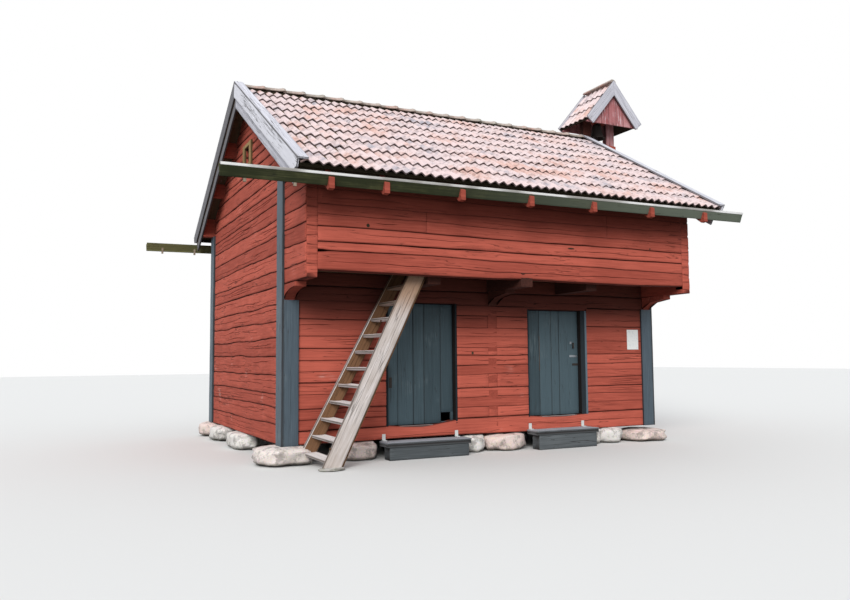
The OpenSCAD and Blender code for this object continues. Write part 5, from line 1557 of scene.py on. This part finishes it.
class GRANARY_OT_steps(bpy.types.Operator):
    """Makes the door steps, and finishes their brackets and the bare sheet"""
    bl_idname = "granary.steps"
    bl_label = "Door steps"

    def execute(self, context):
        blocks, planks, lower = Shape(), Shape(), Shape()
        for k, (x0, x1, top) in enumerate(((1.204, 2.355, 0), (3.365, 4.380, .037))):
            board(planks, place(0, -.283, top), X, Y, Z, x0, x1, 0, .27, .018, 900 + k,
                  edge=.004, tone=.8)
            board(lower, place(0, -.278, top - .018), X, Y, Z, x0 + .004, x1 - .004, 0,
                  .26, .042, 905 + k, edge=.004)
            bar(blocks, place(0, -.27, 0), X, Z, -Y, x0 + .032, x1 - .032, GROUND,
                top - .06, .168, 910 + k, edge=.005, bumps=.003)
        blocks.finish("step_base", "step_paint", replaces=("step_blocks",),
                      slot="slate_boards")
        planks.finish("step_top_planks", "step_worn", replaces=("step_planks",),
                      slot="slate_boards")
        lower.finish("step_under_planks", "step_paint", slot="slate_boards")
        dress(step_brackets="white_metal", notice_sheet="paper")
        return {"FINISHED"}


class GRANARY_OT_stair(bpy.types.Operator):
    """Makes the stair's two sides, the strips along them and the treads"""
    bl_idname = "granary.stair"
    bl_label = "Stair"

    def execute(self, context):
        front, rear, edging, treads = (Shape() for _ in range(4))
        # the sides end at the hatch; the front one is wider in the picture than in the CAD
        top_z, hatch, wide_cad = 2.091, 1.545, .178
        feet = []
        for k, (side_shape, foot_x, y, z0) in enumerate((
                (front, .262, -.655, GROUND + .024), (rear, .172, -.135, -.095))):
            run, rise = hatch - foot_x - wide_cad, top_z - z0
            slant = math.hypot(run, rise)
            ahead = Vector((run / slant, 0, rise / slant))
            side = Vector((rise / slant, 0, -run / slant))
            lean = run / rise
            feet.append((foot_x, y, z0, lean))
            cut = (lambda v, a=lean: v * a, lambda v, s=slant, a=lean: s + v * a)
            wide = .16 if k else .197
            bar(side_shape, place(foot_x, y, z0), ahead, side, -Y, 0, slant, 0, wide, .05,
                950 + k, cut=cut, bumps=.004, both_faces=True,
                cracks=[(.3, .2, 1.6, .008, .003), (.62, .8, 2.3, .009, .003)])
            if k:
                bar(front, place(foot_x, y - .001, z0), ahead, side, -Y, 0, slant, -.003,
                    .010, .052, 954, cut=cut, edge=.003)
            else:
                bar(edging, place(foot_x, y + .003, z0), ahead, side, -Y, 0, slant, .196,
                    .214, .045, 956, cut=cut, edge=.004, bumps=.003)
        for k in range(11):
            z = -.061 + .194 * k
            ends = [Vector((x + (z - z0) * lean + .006, y, z)) for x, y, z0, lean in feet]
            ends[0].y += .05
            # the lowest treads have sunk at the front
            ends[0].z -= (.06, .042, .03, .022, .012)[k] if k < 5 else 0
            ahead = ends[1] - ends[0]
            length = ahead.length
            board(treads, foot + ends[0], ahead.normalized(), X, Z, .001, length - .001, 0,
                  .172, .034, 970 + k, edge=.006, crown=-.006, tone=.7 + .03 * k)
        for k, (x, z) in enumerate(((.957, 1.437), (.345, .02))):
            prism(edging, place(x, 0, z), Y, X, Z, oval(.011, .011, np.arange(0, 360, 36)),
                  -.6565, -.65, 985 + k, edge=.001)
        front.finish("stair_sides", "stair", slot="bare_wood")
        # the rear side is brown wood with painted shade, darker than the front side
        rear.finish("stair_rear_side", "stair_brown",
                    replaces=("stair_stringers",), slot="bare_wood")
        edging.finish("stair_side_edges", "stair_brown", slot="bare_wood")
        treads.finish("stair_steps", "stair", replaces=("stair_treads",),
                      slot="bare_wood")
        return {"FINISHED"}


class GRANARY_OT_windows(bpy.types.Operator):
    """Makes the window frames in the gables"""
    bl_idname = "granary.windows"
    bl_label = "Gable windows"

    def execute(self, context):
        shape = Shape()
        (low, high), (y0, y1), w = WINDOW_Z, WINDOW_Y, .11
        for k, (x, out) in enumerate(((-.028, -X), (HOUSE_L + .028, X))):
            start = place(x, 0, 0)
            for n, (a, b) in enumerate(((y0 - w, y0), (y1, y1 + w))):
                board(shape, start, Z, Y, out, low - w / 2, high + w / 2, a, b, .028,
                      980 + 4 * k + n, bumps=.001)
            for n, (a, b) in enumerate(((low - w / 2, low), (high, high + w / 2))):
                board(shape, start, Y, Z, out, y0 + .001, y1 - .001, a, b, .026,
                      990 + 4 * k + n, bumps=.001)
        shape.finish("window_surrounds", "frame", replaces=("window_frames",),
                     slot="bare_wood")
        return {"FINISHED"}


TURRET_X = 6.135
TURRET_TOP = RIDGE_Z + .883
TURRET_PITCH = math.radians(49.7)
TURRET_W = 1.18
TURRET_L = .822


class GRANARY_OT_turret(bpy.types.Operator):
    """Makes the bell turret: posts, gables, barge boards and its own tiled roof"""
    bl_idname = "granary.turret"
    bl_label = "Bell turret"

    def execute(self, context):
        cos_t, tan_t = math.cos(TURRET_PITCH), math.tan(TURRET_PITCH)
        under = TURRET_TOP - .068 / cos_t
        mid = place(TURRET_X, RIDGE_Y, 0)
        apex = mid + Z * TURRET_TOP
        base = UNDER_RIDGE - .07 * TAN_P
        posts, far_post, gables, barges, crest = (Shape() for _ in range(5))
        for k, x in enumerate((-.4, .1)):
            top = under - max(abs(x), abs(x + .18)) * tan_t
            board(posts if k else far_post, mid + Vector((x, -.0525, 0)), Z, X, -Y, base,
                  top, 0, .18, .105, 1000 + k, edge=.008, bumps=.003)
            a, b = x + .045, x + .045 + .09
            low = under - max(abs(a), abs(b)) * tan_t - .06
            rail = [(a, low), (b, low), (b, under - abs(b) * tan_t - .001),
                    (a, under - abs(a) * tan_t - .001)]
            prism(posts, mid, Y, X, Z, rail, -.321, .321, 1010 + k)
        # painted shade: the far post takes the dark copy of the red
        far_post.finish("turret_post_behind", "red_shade", slot="red_logs")
        posts.finish("turret_posts", "red_faded", replaces=("turret_frame",),
                     slot="red_logs")
        low = TURRET_TOP - .766
        half = (under - low) / tan_t
        edges = np.linspace(-half, half, 8)

        def rafters(v):
            return np.maximum(under - np.abs(v) * tan_t - .002, low + .004)

        for side in (-1, 1):
            origin = mid + Vector((0, side * (TURRET_L / 2 - .09) + side * .025, 0))
            for k in range(7):
                board(gables, origin, Z, X, Y * side, low, under - .02, edges[k] + .001,
                      edges[k + 1] - .001, .025, 1020 + k + 10 * (side > 0), edge=.0025,
                      bumps=.0015, cut=(at_place(low), rafters))
        gables.finish("turret_gable_boards", "red_faded", replaces=("turret_gables",),
                      slot="red_logs")
        length = TURRET_W / 2 / cos_t
        for way in (-1, 1):
            down, normal = slope(X * way, TURRET_PITCH)
            for side in (-1, 1):
                board(barges, apex + Y * side * TURRET_L / 2, down, -normal, Y * side, 0,
                      length, 0, .17, .025, 1040 + way + 3 * side,
                      cut=(lambda n: n * tan_t, at_place(length)), bumps=.0015,
                      cracks=[(.4, .1, .8, .004, .002)])
        barges.finish("turret_barge_covers", "silver", replaces=("turret_barge_boards",),
                      slot="grey_wood")
        # painted shade inside the turret
        dress(turret_roof_boards="dark_board")
        sizes = context.scene.granary_sizes
        width = (TURRET_L - .052) / 3
        step = length / 3
        one = tile_shape(width, step + .045, .024, dip=.02)
        last = tile_shape(width, step - .035, .024, dip=.012)
        parts = []
        for way in (-1, 1):
            down, normal = slope(X * way, TURRET_PITCH)
            start = apex + down * length - normal * .004 + Y * width * way
            for shape, rows, first in ((one, 2, start), (last, 1, start - down * step * 2)):
                parts.append(repeat("turret_tiles_%d_%d" % (way + 1, rows), shape, 3, rows,
                                    first, Y * width * -way, -down * step, "tiles",
                                    turn=(TURRET_PITCH, 0, way * math.pi / 2),
                                    jitter=sizes.tile_tilt, shift=.002,
                                    seed=40 + way + rows))
        bpy.data.objects.remove(one)
        bpy.data.objects.remove(last)
        round_top = oval(.07, .07, np.linspace(20, 160, 8))
        for k in range(4):
            start = -TURRET_L / 2 + .03 + .19 * k
            prism(crest, mid + Z * (TURRET_TOP - .045), Y, X, Z, round_top, start,
                  start + .175, 1080 + k)
        crest.finish("turret_ridge_tiles", "ridge_tiles", slot="clay_tiles")
        fit(joined("turret_tile_courses", parts), "building", ("turret_tiles",))
        return {"FINISHED"}


class GRANARY_OT_bell(bpy.types.Operator):
    """Makes the turned bell and finishes its yoke and clapper"""
    bl_idname = "granary.bell"
    bl_label = "Bell"

    def execute(self, context):
        r, h = .142, .262
        top = RIDGE_Z + .256 - .042
        profile = [(.004, 0), (.3 * r, -.001), (.43 * r, -.006), (.52 * r, -.02),
                   (.57 * r, -.045), (.60 * r, -.09), (.64 * r, -.14), (.71 * r, -.19),
                   (.80 * r, -.225), (.92 * r, -.248), (r, -h), (r - .004, -h),
                   # and back up its inside
                   (r - .013, -h + .002), (.78 * r, -.222), (.67 * r, -.18),
                   (.56 * r, -.13), (.50 * r, -.06), (.44 * r, -.028), (.3 * r, -.019),
                   (.004, -.018)]
        sides, count = 48, len(profile)
        angles = np.linspace(0, 2 * math.pi, sides, endpoint=False)
        mid = np.array(place(TURRET_X - .06, RIDGE_Y, top), float)
        points = [mid + (math.cos(a) * out, math.sin(a) * out, z)
                  for a in angles for out, z in profile]
        faces = [(s * count + k, s * count + k + 1, t * count + k + 1, t * count + k)
                 for s in range(sides) for t in [(s + 1) % sides] for k in range(count - 1)]
        faces.append([s * count for s in range(sides)])
        faces.append([s * count + count - 1 for s in range(sides)][::-1])
        mesh = bpy.data.meshes.new("bell_shell")
        mesh.from_pydata(points, [], faces)
        mesh.polygons.foreach_set("use_smooth", np.ones(len(mesh.polygons), bool))
        mesh.set_sharp_from_angle(angle=math.radians(40))
        mesh.materials.append(finish_of("iron"))
        fit(linked("bell_shell", mesh), "bell_swing", ("bell",))
        dress(bell_yoke="red_timber_x", bell_clapper="iron")
        return {"FINISHED"}


PIECES = (GRANARY_OT_stage, GRANARY_OT_stones, GRANARY_OT_front_wall, GRANARY_OT_gallery,
          GRANARY_OT_gables, GRANARY_OT_back_wall, GRANARY_OT_timbers,
          GRANARY_OT_roof_tiles, GRANARY_OT_ridge_tiles, GRANARY_OT_verges,
          GRANARY_OT_gutters, GRANARY_OT_corner_boards, GRANARY_OT_doors,
          GRANARY_OT_steps, GRANARY_OT_stair, GRANARY_OT_windows, GRANARY_OT_turret,
          GRANARY_OT_bell)


class GRANARY_PT_pieces(bpy.types.Panel):
    """Lists the granary's pieces and its sizes"""
    bl_label = "Granary"
    bl_space_type = "VIEW_3D"
    bl_region_type = "UI"
    bl_category = "Granary"

    def draw(self, context):
        sizes = context.scene.granary_sizes
        for key in sizes.bl_rna.properties.keys():
            if key not in ("rna_type", "name"):
                self.layout.prop(sizes, key)
        for piece in PIECES:
            self.layout.operator(piece.bl_idname)


CLASSES = (GranaryColours, GranarySizes, *PIECES, GRANARY_PT_pieces)


def register():
    for cls in CLASSES:
        bpy.utils.register_class(cls)
    bpy.types.Scene.granary_colours = PointerProperty(type=GranaryColours)
    bpy.types.Scene.granary_sizes = PointerProperty(type=GranarySizes)


def unregister():
    del bpy.types.Scene.granary_sizes
    del bpy.types.Scene.granary_colours
    for cls in reversed(CLASSES):
        bpy.utils.unregister_class(cls)


def main():
    register()
    for piece in PIECES:
        group, name = piece.bl_idname.split(".")
        getattr(getattr(bpy.ops, group), name)()


if __name__ == "__main__":
    main()
